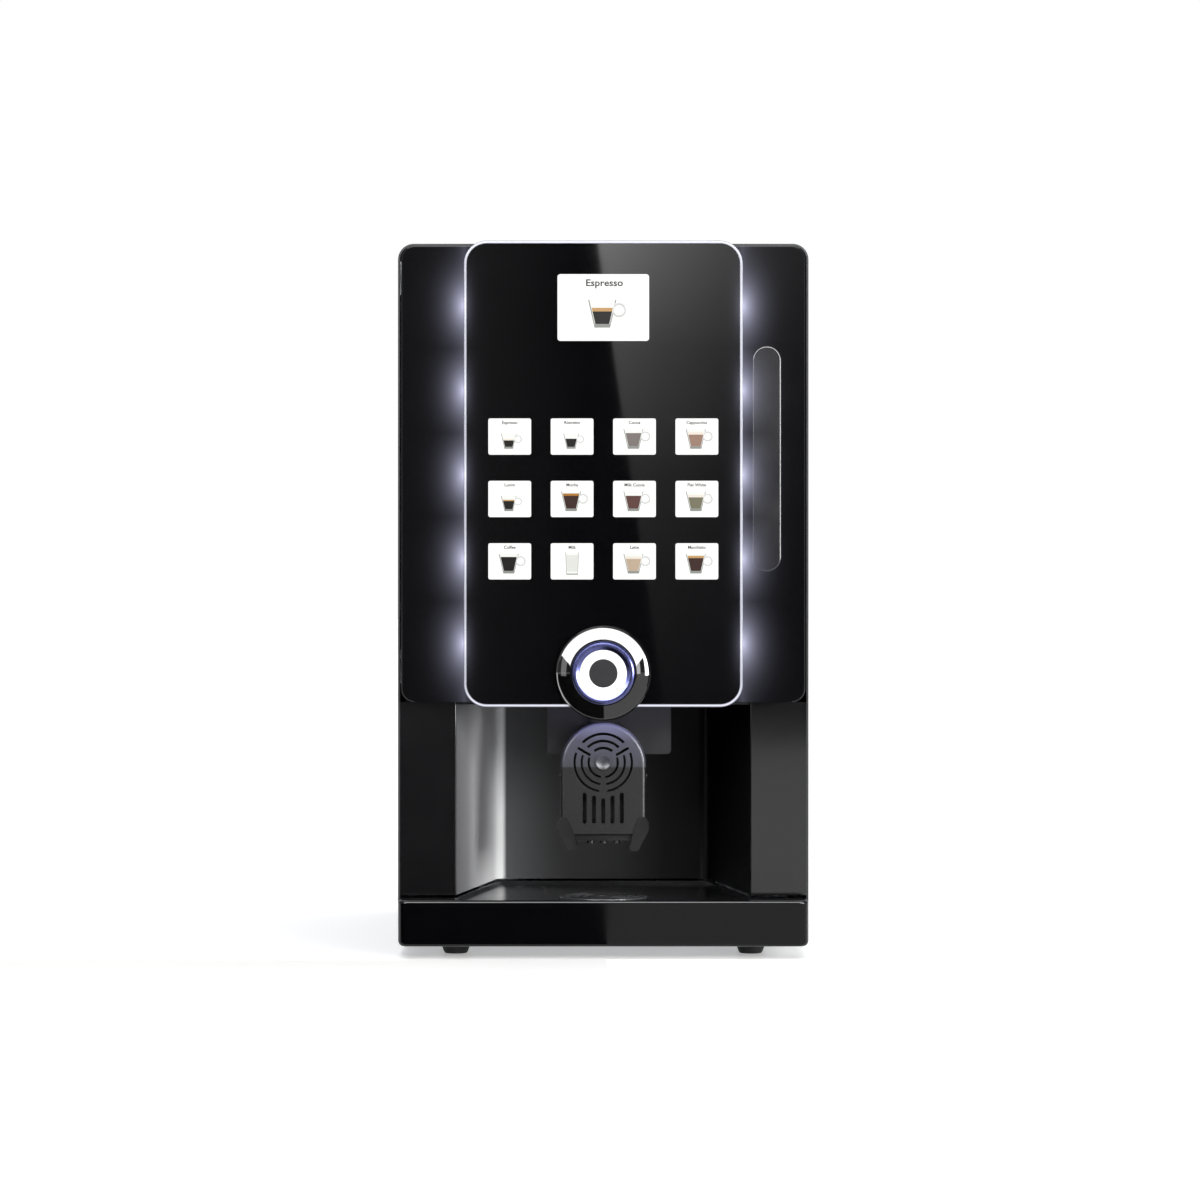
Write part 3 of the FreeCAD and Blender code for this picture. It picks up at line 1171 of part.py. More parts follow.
def boiler():
    """Insulated hot-water tank on a skirt, with three fittings on top."""
    x, y = -INNER + 90, REAR - 100
    z = FOOT_HEIGHT + SHEET
    tank = rod(BOILER_R, V(x, y, z + 10), Z, BOILER_H)
    tank = tank.makeFillet(7, [e for e in tank.Edges if e.BoundBox.ZLength < 1e-6])
    skirt = rod(BOILER_R - 10, V(x, y, z), Z, 20)
    parts = [tank, skirt]
    for k in range(3):
        a = math.radians(30 + 120 * k)
        parts.append(rod(6, V(x + 24 * math.cos(a), y + 24 * math.sin(a), z + BOILER_H + 8), Z, 18))
    return joined(parts)


def water_pump():
    x, y, z = 40.0, REAR - 150, FOOT_HEIGHT + SHEET
    base = block(x - 24, x + 24, y - 45, y + 45, z, z + 6)
    saddle = block(x - 18, x + 18, y - 20, y + 20, z + 6, z + 20)
    body = rod(22, V(x, y - 38, z + 34), Y, 50)
    head = rod(17, V(x, y + 12, z + 34), Y, 34)
    ports = rod(5, V(x, y + 30, z + 34), Z, 28)
    return joined([base, saddle, body, head, ports])


def power_supply():
    """Vented sheet-metal box over the power supply, open where it stands on the floor pan."""
    x1 = INNER - SHEET - 4
    x0, y0, y1 = x1 - 92, NICHE_BACK + 30, REAR - 60
    z0 = FOOT_HEIGHT + SHEET
    box = rounded(block(x0, x1, y0, y1, z0, z0 + 120), 3, Z)
    box = box.cut(block(x0 + SHEET, x1 - SHEET, y0 + SHEET, y1 - SHEET, z0 - 1, z0 + 120 - SHEET))
    for n in range(10):
        y = y0 + 20 + 14 * n
        if y < y1 - 16:
            box = box.cut(block(x0 - 1, x0 + 2.5, y, y + 5, z0 + 30, z0 + 90))
    return box


FAN_SIZE, FAN_T, FAN_HUB, FAN_TIP = 80.0, 25.0, 16.0, 36.5


def fan_frame():
    y1 = REAR - SHEET
    y0 = y1 - FAN_T
    frame = rounded(block(FAN_X - FAN_SIZE / 2, FAN_X + FAN_SIZE / 2, y0, y1,
                          FAN_Z - FAN_SIZE / 2, FAN_Z + FAN_SIZE / 2), 5, Y)
    frame = frame.cut(rod(FAN_TIP + 1.5, V(FAN_X, y0 - 1, FAN_Z), Y, FAN_T + 2))
    hub = rod(FAN_HUB, V(FAN_X, y1 - 4, FAN_Z), Y, 4)
    parts = [frame, hub, rod(2, V(FAN_X, y0 + 5, FAN_Z), Y, FAN_T - 5)]
    for k in range(4):
        arm = block(0, FAN_TIP + 2.5, y1 - 4, y1, -2, 2)
        arm.rotate(V(0, 0, 0), Y, 45 + 90 * k)
        arm.translate(V(FAN_X, 0, FAN_Z))
        parts.append(arm)
    return joined(parts)


def fan_rotor():
    y0 = REAR - SHEET - FAN_T + 3
    shapes = [rod(FAN_HUB, V(FAN_X, y0, FAN_Z), Y, 17)]
    for k in range(7):
        blade = block(FAN_HUB - 2, FAN_TIP, -0.8, 0.8, -7, 7)
        blade.rotate(V(0, 0, 0), X, 35)
        blade.translate(V(0, y0 + 8.5, 0))
        blade.rotate(V(0, 0, 0), Y, 360.0 / 7 * k)
        blade.translate(V(FAN_X, 0, FAN_Z))
        shapes.append(blade)
    rotor = joined(shapes)
    return rotor.cut(rod(2 + PIN_PLAY, V(FAN_X, y0 - 1, FAN_Z), Y, 20))


def drink_hoses():
    """Silicone hoses from the bowl spigots to the hood, and the coffee hose from the brewer."""
    hoses = []
    y_in = HOUSING_FACE + HOUSING_DEPTH / 2 + 1
    floor = HOUSING_BOTTOM + HOUSING_WALL
    for x, x_in in zip(CANISTERS(), (20.0, 44.0)):
        top = BOWL_Z() - BOWL_R - 14
        hoses.append(tube_route([V(x, bowl_y(), top), V(x, bowl_y(), top - 32),
                                 V((x + x_in) / 2, (bowl_y() + y_in) / 2, DECK_TOP + 62),
                                 V(x_in, y_in, DECK_TOP + 34), V(x_in, y_in, floor)], 7, 5))
    x, y, z = BREW()
    hoses.append(tube_route([V(x + 40, y - 20, z + 79), V(x + 62, y - 20, z + 79),
                             V(x + 76, (y + y_in) / 2, z + 20), V(-20, y_in, DECK_TOP + 34),
                             V(-20, y_in, floor)], 5, 3.2))
    return group(hoses)


# ---------------------------------------------------------------- every node
def make_all():
    nodes["side_panel_right"] = side_panel(True)
    nodes["side_panel_left"] = mirrored(side_panel(False))
    for name, make in (
            ("top_panel", top_panel), ("top_lid", top_lid), ("rear_panel", rear_panel),
            ("base_chassis", base_chassis), ("rubber_feet", rubber_feet),
            ("inner_deck", inner_deck), ("equipment_plate", equipment_plate),
            ("niche_liner", niche_liner), ("column_covers", column_covers),
            ("outlet_housing", outlet_housing), ("door_hinge_brackets", door_hinge_brackets),
            ("hinge_pins", hinge_pins), ("panel_screws", panel_screws),
            ("door_panel", door_panel), ("door_frame", door_frame),
            ("door_inner_cover", door_inner_cover), ("glass_panel", glass_panel),
            ("light_guide", light_guide), ("display_windows", display_windows),
            ("led_strips", led_strips), ("display_board", display_board),
            ("knob_bezel", knob_bezel), ("start_button", start_button),
            ("start_button_light", start_button_light), ("door_grip", door_grip),
            ("spout_cover", spout_cover), ("spout_body", spout_body),
            ("outlet_nozzles", outlet_nozzles), ("base_fascia", base_fascia),
            ("tray_plate", tray_plate), ("cup_grille", cup_grille), ("drip_basin", drip_basin),
            ("lock_cylinder", lock_cylinder), ("lock_cam", lock_cam),
            ("power_inlet", power_inlet), ("power_rocker", power_rocker),
            ("water_inlet", water_inlet), ("bean_hopper", bean_hopper), ("grinder", grinder),
            ("grinder_burr", grinder_burr), ("brew_unit", brew_unit),
            ("brew_piston", brew_piston), ("grounds_bin", grounds_bin),
            ("powder_canisters", powder_canisters), ("canister_lids", canister_lids),
            ("canister_outlets", canister_outlets), ("mixing_bowls", mixing_bowls),
            ("gear_motors", gear_motors), ("boiler", boiler), ("water_pump", water_pump),
            ("power_supply", power_supply), ("fan_frame", fan_frame),
            ("fan_rotor", fan_rotor), ("drink_hoses", drink_hoses)):
        nodes[name] = make()
    for drink, x in zip(("milk", "chocolate"), CANISTERS()):
        nodes["auger_" + drink] = auger(x)
        nodes["whisk_" + drink] = whisk(x)


def main():
    make_all()
    os.makedirs("parts", exist_ok=True)
    for name, shape in sorted(nodes.items()):
        solids = shape.Solids
        bad = [s for s in solids if not s.isValid() or s.Volume <= 0]
        if bad or not solids:
            print("BAD", name, len(solids), "solids", len(bad), "bad")
        out = solids[0] if len(solids) == 1 else Part.makeCompound(solids)
        out.exportStep(os.path.join("parts", name + ".step"))
    print(len(nodes), "nodes,", sum(len(s.Solids) for s in nodes.values()), "solids")


main()
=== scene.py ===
import math

import bpy
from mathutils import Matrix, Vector


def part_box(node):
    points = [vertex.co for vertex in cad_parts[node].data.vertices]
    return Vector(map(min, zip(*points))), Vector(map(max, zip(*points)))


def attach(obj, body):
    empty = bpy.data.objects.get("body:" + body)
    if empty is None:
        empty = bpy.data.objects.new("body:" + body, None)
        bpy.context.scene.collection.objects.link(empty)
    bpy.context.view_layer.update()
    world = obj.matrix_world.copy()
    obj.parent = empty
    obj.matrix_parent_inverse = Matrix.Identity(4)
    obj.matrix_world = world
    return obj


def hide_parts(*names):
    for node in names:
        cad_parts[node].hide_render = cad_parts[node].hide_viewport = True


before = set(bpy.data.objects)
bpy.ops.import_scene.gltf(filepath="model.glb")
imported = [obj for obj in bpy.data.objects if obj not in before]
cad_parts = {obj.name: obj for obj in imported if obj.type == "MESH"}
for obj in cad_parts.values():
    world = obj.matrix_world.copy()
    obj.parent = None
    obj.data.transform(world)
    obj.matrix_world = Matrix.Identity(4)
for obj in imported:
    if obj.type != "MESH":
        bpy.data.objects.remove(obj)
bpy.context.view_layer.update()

MM = 0.001
GLASS_LOW, GLASS_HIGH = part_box("light_guide")
GLASS_HALF = GLASS_HIGH.x
KNOB_LOW, KNOB_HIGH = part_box("knob_bezel")
KNOB = Vector((0.0, KNOB_HIGH.y, (KNOB_LOW.z + KNOB_HIGH.z) / 2))
LAMP_LOW, LAMP_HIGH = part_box("led_strips")
LAMP_COUNT = 5
LAMP_END = 20 * MM                              # from each board's end to its last lamp
LAMP_FIRST = LAMP_LOW.z + LAMP_END
LAMP_PITCH = (LAMP_HIGH.z - LAMP_LOW.z - 2 * LAMP_END) / (LAMP_COUNT - 1)
WINDOW_LOW, WINDOW_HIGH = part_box("display_windows")
NICHE_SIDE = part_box("niche_liner")[1].x


# ---------------------------------------------------------------- colours and nodes
def linear(code, gain=1.0):
    """An sRGB hex colour as linear RGBA."""
    values = [int(code[i:i + 2], 16) / 255 for i in (1, 3, 5)]
    return [gain * (v / 12.92 if v <= 0.04045 else ((v + 0.055) / 1.055) ** 2.4)
            for v in values] + [1.0]


def add_node(material, kind, settings=None, links=None):
    """Adds a node, sets its properties and sockets, and links its inputs."""
    node = material.node_tree.nodes.new(kind)
    for key, value in (settings or {}).items():
        if isinstance(key, int) or key in node.inputs:
            node.inputs[key].default_value = value
        else:
            setattr(node, key, value)
    for key, source in (links or {}).items():
        material.node_tree.links.new(source, node.inputs[key])
    return node


def blank(name):
    material = bpy.data.materials.new(name)
    material.use_nodes = True
    material.node_tree.nodes.clear()
    return material


def grained(name, colour, roughness, grain_mm, relief_mm, metallic=0.0, spread=0.25,
            light=None, **shader):
    """A finish whose grain is grain_mm across and relief_mm deep. A cloud pattern of 40 mm
    varies its colour and roughness by spread, as handling and moulding do."""
    material = blank(name)
    place = add_node(material, "ShaderNodeTexCoord").outputs["Object"]
    cloud = add_node(material, "ShaderNodeTexNoise",
                     {"Scale": 25.0, "Detail": 5.0, "Roughness": 0.6}, {"Vector": place})
    grain = add_node(material, "ShaderNodeTexNoise",
                     {"Scale": 0.5 / (grain_mm * MM), "Detail": 2.0}, {"Vector": place})
    tint = add_node(material, "ShaderNodeValToRGB", {}, {"Fac": cloud.outputs["Fac"]})
    tint.color_ramp.elements[0].position, tint.color_ramp.elements[1].position = 0.3, 0.7
    tint.color_ramp.elements[0].color = linear(colour, 1 - spread / 2)
    tint.color_ramp.elements[1].color = linear(colour, 1 + spread / 2)
    gloss = add_node(material, "ShaderNodeMapRange",
                     {"From Min": 0.3, "From Max": 0.7, "To Min": roughness * (1 - spread),
                      "To Max": roughness * (1 + spread)}, {"Value": cloud.outputs["Fac"]})
    bump = add_node(material, "ShaderNodeBump", {"Strength": 0.5, "Distance": relief_mm * MM},
                    {"Height": grain.outputs["Fac"]})
    settings = {"Metallic": metallic}
    settings.update(shader)
    bsdf = add_node(material, "ShaderNodeBsdfPrincipled", settings,
                    {"Base Color": tint.outputs["Color"], "Roughness": gloss.outputs["Result"],
                     "Normal": bump.outputs["Normal"]})
    # light, if given, is a painted glow: an emission strength worked out from the place on the
    # piece.
    if light:
        material.node_tree.links.new(light(material, place), bsdf.inputs["Emission Strength"])
    add_node(material, "ShaderNodeOutputMaterial", {}, {"Surface": bsdf.outputs["BSDF"]})
    return material


def calculator(material):
    """A function that adds one math node from numbers and sockets, and returns its output."""
    def maths(operation, first, second=0.0):
        links = {i: s for i, s in ((0, first), (1, second)) if not isinstance(s, (int, float))}
        values = {i: s for i, s in ((0, first), (1, second)) if isinstance(s, (int, float))}
        values["operation"] = operation
        return add_node(material, "ShaderNodeMath", values, links).outputs[0]
    return maths


def lamp_glow(material, place, reach, height, strength, floor=0.0, haze=0.0):
    """Light round the glass's side edges, as an emission strength: it fades over reach sideways and
    height up and down from each lamp, with a haze between lamps and a level floor under it all. On
    the lit acrylic edge it is that edge's own light; on the wing, glass and grip it is painted lamp
    light."""
    maths = calculator(material)
    axes = add_node(material, "ShaderNodeSeparateXYZ", {}, {"Vector": place}).outputs
    aside = maths("DIVIDE", maths("SUBTRACT", maths("ABSOLUTE", axes["X"]), GLASS_HALF), reach)
    step = maths("DIVIDE", maths("SUBTRACT", axes["Z"], LAMP_FIRST), LAMP_PITCH)
    nearest = maths("MINIMUM", maths("MAXIMUM", maths("ROUND", step), 0.0), LAMP_COUNT - 1.0)
    along = maths("DIVIDE", maths("MULTIPLY", maths("SUBTRACT", step, nearest), LAMP_PITCH),
                  height)
    spread = maths("ADD", maths("MULTIPLY", along, along), 0.01)
    distance = maths("SQRT", maths("ADD", maths("MULTIPLY", aside, aside), spread))
    glow = maths("EXPONENT", maths("MULTIPLY", distance, -1.0))
    near = maths("EXPONENT", maths("MULTIPLY", maths("ABSOLUTE", aside), -1.4))
    total = maths("ADD", maths("MULTIPLY", glow, strength), maths("MULTIPLY", near, haze))
    return maths("ADD", total, floor)


# The lamps' colour, also used for the glow painted on the wing, glass and grip.
LAMP_COLOUR = linear("#d3d4f2")

# ---------------------------------------------------------------- finishes
# High-gloss black ABS: a deep black with a slight orange peel from the mould.
gloss_abs = grained("gloss_black_abs", "#101011", 0.07, 1.6, 0.002, spread=0.2)
# The drawer front is the same ABS made darker and less reflective: painted shade that dims its
# reflections.
shaded_drawer_abs = grained("gloss_black_abs_drawer_shaded", "#040405", 0.07, 1.6, 0.002, spread=0.2,
                     **{"Specular IOR Level": 0.2})
# The wing beside the glass is the same ABS; the glow of the lamps behind the glass edge is painted
# on it as emission.
wing_abs = grained("gloss_black_abs_wing_painted_glow", "#060607", 0.07, 1.6, 0.002, spread=0.2,
                   light=lambda m, p: lamp_glow(m, p, 8.3 * MM, 14 * MM, 1.05, haze=0.08),
                   **{"Emission Color": LAMP_COLOUR, "Specular IOR Level": 0.25})
# Back-printed float glass: flat, hard and mirror-smooth over black enamel, with a faint painted glow
# of the lamps along its side edges.
black_glass = grained("back_printed_glass_painted_glow", "#050506", 0.025, 6.0, 0.0002, spread=0.3,
                      light=lambda m, p: lamp_glow(m, p, 4 * MM, 14 * MM, 0.25),
                      **{"Emission Color": LAMP_COLOUR, "IOR": 1.52})
# Powder coat: fine leathery texture of about 0.8 mm.
powder_coat = grained("powder_coat_black", "#1a1b1c", 0.5, 0.8, 0.03, spread=0.06,
                      **{"Specular IOR Level": 0.2})
# Spark-eroded moulding texture: the drink outlet, the door's frame and the moulded parts inside.
etched_abs = grained("etched_black_abs", "#161618", 0.36, 0.5, 0.015, spread=0.15,
                     **{"Specular IOR Level": 0.3})
# The lift-out cup grille: the same moulding as the tray, a little paler all over, a painted
# highlight that stands for the light on its ribs.
grille_abs_painted_highlight = grained("grille_abs_painted_highlight", "#3c3d3e", 0.22, 1.2, 0.001, spread=0.1)
# The spout's manifold and lugs: a darker copy of the etched moulding with hardly any sheen, painted
# shade that dims the key light on them.
shaded_lug_abs = grained("etched_black_abs_lug_shaded", "#060607", 0.4, 0.5, 0.015, spread=0.15,
                  **{"Specular IOR Level": 0.15})
# Drip tray: polished ABS, dark and fairly sharp in its reflections.
tray_abs = grained("tray_abs", "#1c1d1e", 0.18, 1.2, 0.001, spread=0.1)
# Grip pad: satin ABS, with the light of the lamps beside it painted on as emission.
grip_abs_painted_glow = grained("grip_abs_painted_glow", "#131315", 0.16, 1.2, 0.003, spread=0.2,
                   light=lambda m, p: lamp_glow(m, p, 8.3 * MM, 14 * MM, 0.9),
                   **{"Emission Color": LAMP_COLOUR})
# Foot rubber: dull, with a fine moulded grain.
rubber = grained("foot_rubber", "#101010", 0.75, 0.6, 0.04)
# Piano-black lacquer of the bezel: a hard, clear, polished coat over black.
piano_black = grained("piano_black_lacquer", "#060606", 0.035, 3.0, 0.0003, spread=0.15,
                      **{"IOR": 1.58})
# Metals: dull zinc plate, brushed stainless, spangled galvanised sheet and turned brass.
zinc = grained("zinc_plated_steel", "#9a9c9f", 0.35, 1.0, 0.004, metallic=1.0)
stainless = grained("brushed_stainless", "#b4b6b8", 0.28, 0.6, 0.003, metallic=1.0)
galvanised = grained("galvanised_sheet", "#a6aaad", 0.4, 9.0, 0.004, metallic=1.0, spread=0.35)
brass = grained("turned_brass", "#c8a25a", 0.25, 0.5, 0.003, metallic=1.0)
# Food-side plastics: milky polypropylene, and smoked polycarbonate that shows its filling.
white_pp = grained("white_polypropylene", "#dcdcd6", 0.4, 1.0, 0.006)
smoked_pc = grained("smoked_polycarbonate", "#5d6064", 0.15, 3.0, 0.002, Alpha=0.6)
# Motor enamel, solder mask and silicone hose, all matt and soft.
enamel = grained("motor_enamel", "#2b2d30", 0.35, 0.8, 0.01)
circuit = grained("green_solder_mask", "#12452a", 0.3, 0.8, 0.01)
silicone = grained("hose_silicone", "#d9d9d2", 0.45, 1.5, 0.01)


def start_button_finish():
    """Violet anodised ring with fine turning marks, round a satin black centre disc."""
    material = blank("anodised_ring_and_disc")
    maths = calculator(material)
    place = add_node(material, "ShaderNodeTexCoord").outputs["Object"]
    axes = add_node(material, "ShaderNodeSeparateXYZ", {}, {"Vector": place}).outputs
    up = maths("SUBTRACT", axes["Z"], KNOB.z)
    radius = maths("SQRT", maths("ADD", maths("MULTIPLY", axes["X"], axes["X"]),
                                 maths("MULTIPLY", up, up)))
    disc = maths("LESS_THAN", radius, 19 * MM)
    turning = maths("SINE", maths("MULTIPLY", radius, 2 * math.pi / (0.25 * MM)))
    cloud = add_node(material, "ShaderNodeTexNoise", {"Scale": 120.0, "Detail": 3.0},
                     {"Vector": place})
    ring_tint = add_node(material, "ShaderNodeValToRGB", {}, {"Fac": cloud.outputs["Fac"]})
    ring_tint.color_ramp.elements[0].color = linear("#42456e")
    ring_tint.color_ramp.elements[1].color = linear("#5f6290")
    disc_tint = add_node(material, "ShaderNodeValToRGB", {}, {"Fac": cloud.outputs["Fac"]})
    disc_tint.color_ramp.elements[0].color = linear("#161618")
    disc_tint.color_ramp.elements[1].color = linear("#1e1e20")
    bump = add_node(material, "ShaderNodeBump", {"Strength": 0.25, "Distance": 0.004 * MM},
                    {"Height": turning})
    ring = add_node(material, "ShaderNodeBsdfPrincipled", {"Metallic": 1.0, "Roughness": 0.24},
                    {"Base Color": ring_tint.outputs["Color"], "Normal": bump.outputs["Normal"]})
    cap = add_node(material, "ShaderNodeBsdfPrincipled",
                   {"Roughness": 0.3, "Specular IOR Level": 0.25},
                   {"Base Color": disc_tint.outputs["Color"]})
    mix = add_node(material, "ShaderNodeMixShader", {}, {0: disc, 1: ring.outputs["BSDF"],
                                                        2: cap.outputs["BSDF"]})
    add_node(material, "ShaderNodeOutputMaterial", {}, {"Surface": mix.outputs["Shader"]})
    return material


def spout_finish():
    """Moulded in one piece: etched black below, and a satin violet-grey arch above that is painted
    lamp light, paler towards its top.
    """
    material = blank("spout_abs_painted_arch_light")
    low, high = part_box("spout_cover")
    arch = high.z - (high.x - low.x) / 2
    place = add_node(material, "ShaderNodeTexCoord").outputs["Object"]
    axes = add_node(material, "ShaderNodeSeparateXYZ", {}, {"Vector": place}).outputs
    grain = add_node(material, "ShaderNodeTexNoise", {"Scale": 1200.0, "Detail": 2.0},
                     {"Vector": place})
    # Painted light: from just under the arch the tone rises from black to a pale violet-grey at the
    # top.
    tone = add_node(material, "ShaderNodeMapRange",
                    {"From Min": arch - 1 * MM, "From Max": high.z}, {"Value": axes["Z"]})
    tint = add_node(material, "ShaderNodeValToRGB", {}, {"Fac": tone.outputs["Result"]})
    ramp = tint.color_ramp.elements
    ramp[0].position, ramp[0].color = 0.0, linear("#101011")
    ramp[1].position, ramp[1].color = 1.0, linear("#5c5c74")
    for position, colour in ((0.03, "#2d2d33"), (0.6, "#383842")):
        point = ramp.new(position)
        point.color = linear(colour)
    gloss = add_node(material, "ShaderNodeMapRange",
                     {"From Min": 0.3, "From Max": 0.7, "To Min": 0.26, "To Max": 0.36},
                     {"Value": grain.outputs["Fac"]})
    bump = add_node(material, "ShaderNodeBump", {"Strength": 0.5, "Distance": 0.015 * MM},
                    {"Height": grain.outputs["Fac"]})
    bsdf = add_node(material, "ShaderNodeBsdfPrincipled", {"Specular IOR Level": 0.3},
                    {"Base Color": tint.outputs["Color"], "Roughness": gloss.outputs["Result"],
                     "Normal": bump.outputs["Normal"]})
    add_node(material, "ShaderNodeOutputMaterial", {}, {"Surface": bsdf.outputs["BSDF"]})
    return material


def niche_finish():
    """Satin moulded ABS of the cup space. Its tone runs from a pale left wall and a bright
    filleted corner to a near-black right side, and stands for the light that falls on them."""
    material = blank("niche_satin_abs_painted_light")
    maths = calculator(material)
    place = add_node(material, "ShaderNodeTexCoord").outputs["Object"]
    axes = add_node(material, "ShaderNodeSeparateXYZ", {}, {"Vector": place}).outputs
    grain = add_node(material, "ShaderNodeTexNoise", {"Scale": 900.0, "Detail": 2.0},
                     {"Vector": place})
    across = add_node(material, "ShaderNodeMapRange",
                      {"From Min": -NICHE_SIDE, "From Max": NICHE_SIDE}, {"Value": axes["X"]})
    tint = add_node(material, "ShaderNodeValToRGB", {}, {"Fac": across.outputs["Result"]})
    ramp = tint.color_ramp.elements
    ramp[0].position, ramp[0].color = 0.0, linear("#4c4c4d")
    ramp[1].position, ramp[1].color = 1.0, linear("#030303")
    # Painted light and shade: a painted highlight on the left corner's fillet, painted shade over
    # the right side, and a faint painted reflection on the right corner's fillet.
    for x, colour in ((-140, "#666667"), (-128, "#9c9c9d"), (-118, "#d8d8d9"), (-114, "#f6f6f6"),
                      (-108, "#f6f6f6"), (-104, "#565758"), (-46, "#404041"), (0, "#2a2a2b"),
                      (44, "#141415"), (66, "#030303"), (108, "#030303"), (110, "#2a2a2a"),
                      (112, "#030303")):
        ramp.new((x * MM + NICHE_SIDE) / (2 * NICHE_SIDE)).color = linear(colour)
    gloss = add_node(material, "ShaderNodeMapRange",
                     {"From Min": 0.3, "From Max": 0.7, "To Min": 0.34, "To Max": 0.42},
                     {"Value": grain.outputs["Fac"]})
    bump = add_node(material, "ShaderNodeBump", {"Strength": 0.4, "Distance": 0.006 * MM},
                    {"Height": grain.outputs["Fac"]})
    bsdf = add_node(material, "ShaderNodeBsdfPrincipled", {"Specular IOR Level": 0.1},
                    {"Base Color": tint.outputs["Color"], "Roughness": gloss.outputs["Result"],
                     "Normal": bump.outputs["Normal"]})
    add_node(material, "ShaderNodeOutputMaterial", {}, {"Surface": bsdf.outputs["BSDF"]})
    return material


def lit_acrylic():
    """Frosted acrylic edge: bright at the lamps, softer between them, bright at top and bottom.
    Its light is strongest along the middle of the edge's width."""
    material = blank("lit_acrylic_edge")
    maths = calculator(material)
    place = add_node(material, "ShaderNodeTexCoord").outputs["Object"]
    glow = lamp_glow(material, place, 60 * MM, 15 * MM, 0.75, 0.34)
    axes = add_node(material, "ShaderNodeSeparateXYZ", {}, {"Vector": place}).outputs
    middle = (GLASS_LOW.z + GLASS_HIGH.z) / 2
    half = (GLASS_HIGH.z - GLASS_LOW.z) / 2
    far = maths("ABSOLUTE", maths("SUBTRACT", axes["Z"], middle))
    ends = add_node(material, "ShaderNodeMapRange",
                    {"From Min": half - 28 * MM, "From Max": half - 6 * MM, "To Min": 0.0,
                     "To Max": 0.4}, {"Value": far})
    radius = 23 * MM
    corner_x = maths("MAXIMUM", maths("SUBTRACT", maths("ABSOLUTE", axes["X"]),
                                      GLASS_HALF - radius), 0.0)
    corner_z = maths("MAXIMUM", maths("SUBTRACT", far, half - radius), 0.0)
    reach = maths("SQRT", maths("ADD", maths("MULTIPLY", corner_x, corner_x),
                                maths("MULTIPLY", corner_z, corner_z)))
    off_line = maths("DIVIDE", maths("SUBTRACT", reach, radius - 1.5 * MM), 0.85 * MM)
    line = maths("EXPONENT", maths("MULTIPLY", maths("MULTIPLY", off_line, off_line), -1.0))
    along = maths("ADD", glow, ends.outputs["Result"])
    total = maths("MULTIPLY", along, maths("ADD", maths("MULTIPLY", line, 0.95), 0.05))
    frost = add_node(material, "ShaderNodeTexNoise", {"Scale": 900.0}, {"Vector": place})
    bump = add_node(material, "ShaderNodeBump", {"Strength": 0.3, "Distance": 0.02 * MM},
                    {"Height": frost.outputs["Fac"]})
    bsdf = add_node(material, "ShaderNodeBsdfPrincipled",
                    {"Base Color": linear("#50525c"), "Roughness": 0.35,
                     "Emission Color": linear("#f2f3ff")},
                    {"Emission Strength": total, "Normal": bump.outputs["Normal"]})
    add_node(material, "ShaderNodeOutputMaterial", {}, {"Surface": bsdf.outputs["BSDF"]})
    return material


def backlit(name, colour, strength, roughness=0.2):
    """A printed film with a lamp behind it; the diffuser's own cloudiness shows faintly."""
    material = blank(name)
    place = add_node(material, "ShaderNodeTexCoord").outputs["Object"]
    cloud = add_node(material, "ShaderNodeTexNoise", {"Scale": 60.0, "Detail": 3.0},
                     {"Vector": place})
    level = add_node(material, "ShaderNodeMapRange",
                     {"To Min": strength * 0.94, "To Max": strength * 1.06},
                     {"Value": cloud.outputs["Fac"]})
    bsdf = add_node(material, "ShaderNodeBsdfPrincipled",
                    {"Base Color": linear(colour, 0.05), "Roughness": roughness,
                     "Emission Color": linear(colour)},
                    {"Emission Strength": level.outputs["Result"]})
    add_node(material, "ShaderNodeOutputMaterial", {}, {"Surface": bsdf.outputs["BSDF"]})
    return material


window_film = backlit("backlit_window_film", "#fdfdfb", 1.0)
button_diffuser = backlit("button_light_diffuser", "#ffffff", 1.25)
lamp_board = backlit("lamp_board", "#dfe2ff", 1.5)
rim_light = lit_acrylic()
button_finish = start_button_finish()
spout_abs = spout_finish()
niche_abs = niche_finish()

FINISHES = {
    gloss_abs: ("column_covers",),
    shaded_drawer_abs: ("base_fascia",),
    spout_abs: ("spout_cover",),
    wing_abs: ("door_panel",),
    black_glass: ("glass_panel",),
    # The inner deck takes the black powder coat so that its edge in the gap under the door stays
    # dark: painted shade.
    powder_coat: ("side_panel_left", "side_panel_right", "top_panel", "top_lid", "rear_panel",
                  "inner_deck"),
    shaded_lug_abs: ("spout_body",),
    etched_abs: ("outlet_housing", "outlet_nozzles", "door_frame",
                 "door_inner_cover", "power_inlet", "power_rocker", "fan_frame", "fan_rotor",
                 "canister_lids", "grounds_bin", "brew_unit", "brew_piston"),
    niche_abs: ("niche_liner",),
    tray_abs: ("tray_plate", "drip_basin"),
    grille_abs_painted_highlight: ("cup_grille",),
    grip_abs_painted_glow: ("door_grip",),
    rubber: ("rubber_feet",),
    piano_black: ("knob_bezel",),
    button_finish: ("start_button",),
    zinc: ("door_hinge_brackets", "hinge_pins", "panel_screws", "lock_cam", "lock_cylinder"),
    stainless: ("boiler", "grinder_burr", "power_supply"),
    galvanised: ("base_chassis", "equipment_plate"),
    brass: ("water_inlet",),
    white_pp: ("canister_outlets", "mixing_bowls", "auger_milk", "auger_chocolate",
               "whisk_milk", "whisk_chocolate"),
    smoked_pc: ("bean_hopper", "powder_canisters"),
    enamel: ("grinder", "gear_motors", "water_pump"),
    circuit: ("display_board",),
    silicone: ("drink_hoses",),
    rim_light: ("light_guide",),
    window_film: ("display_windows",),
    button_diffuser: ("start_button_light",),
    lamp_board: ("led_strips",),
}
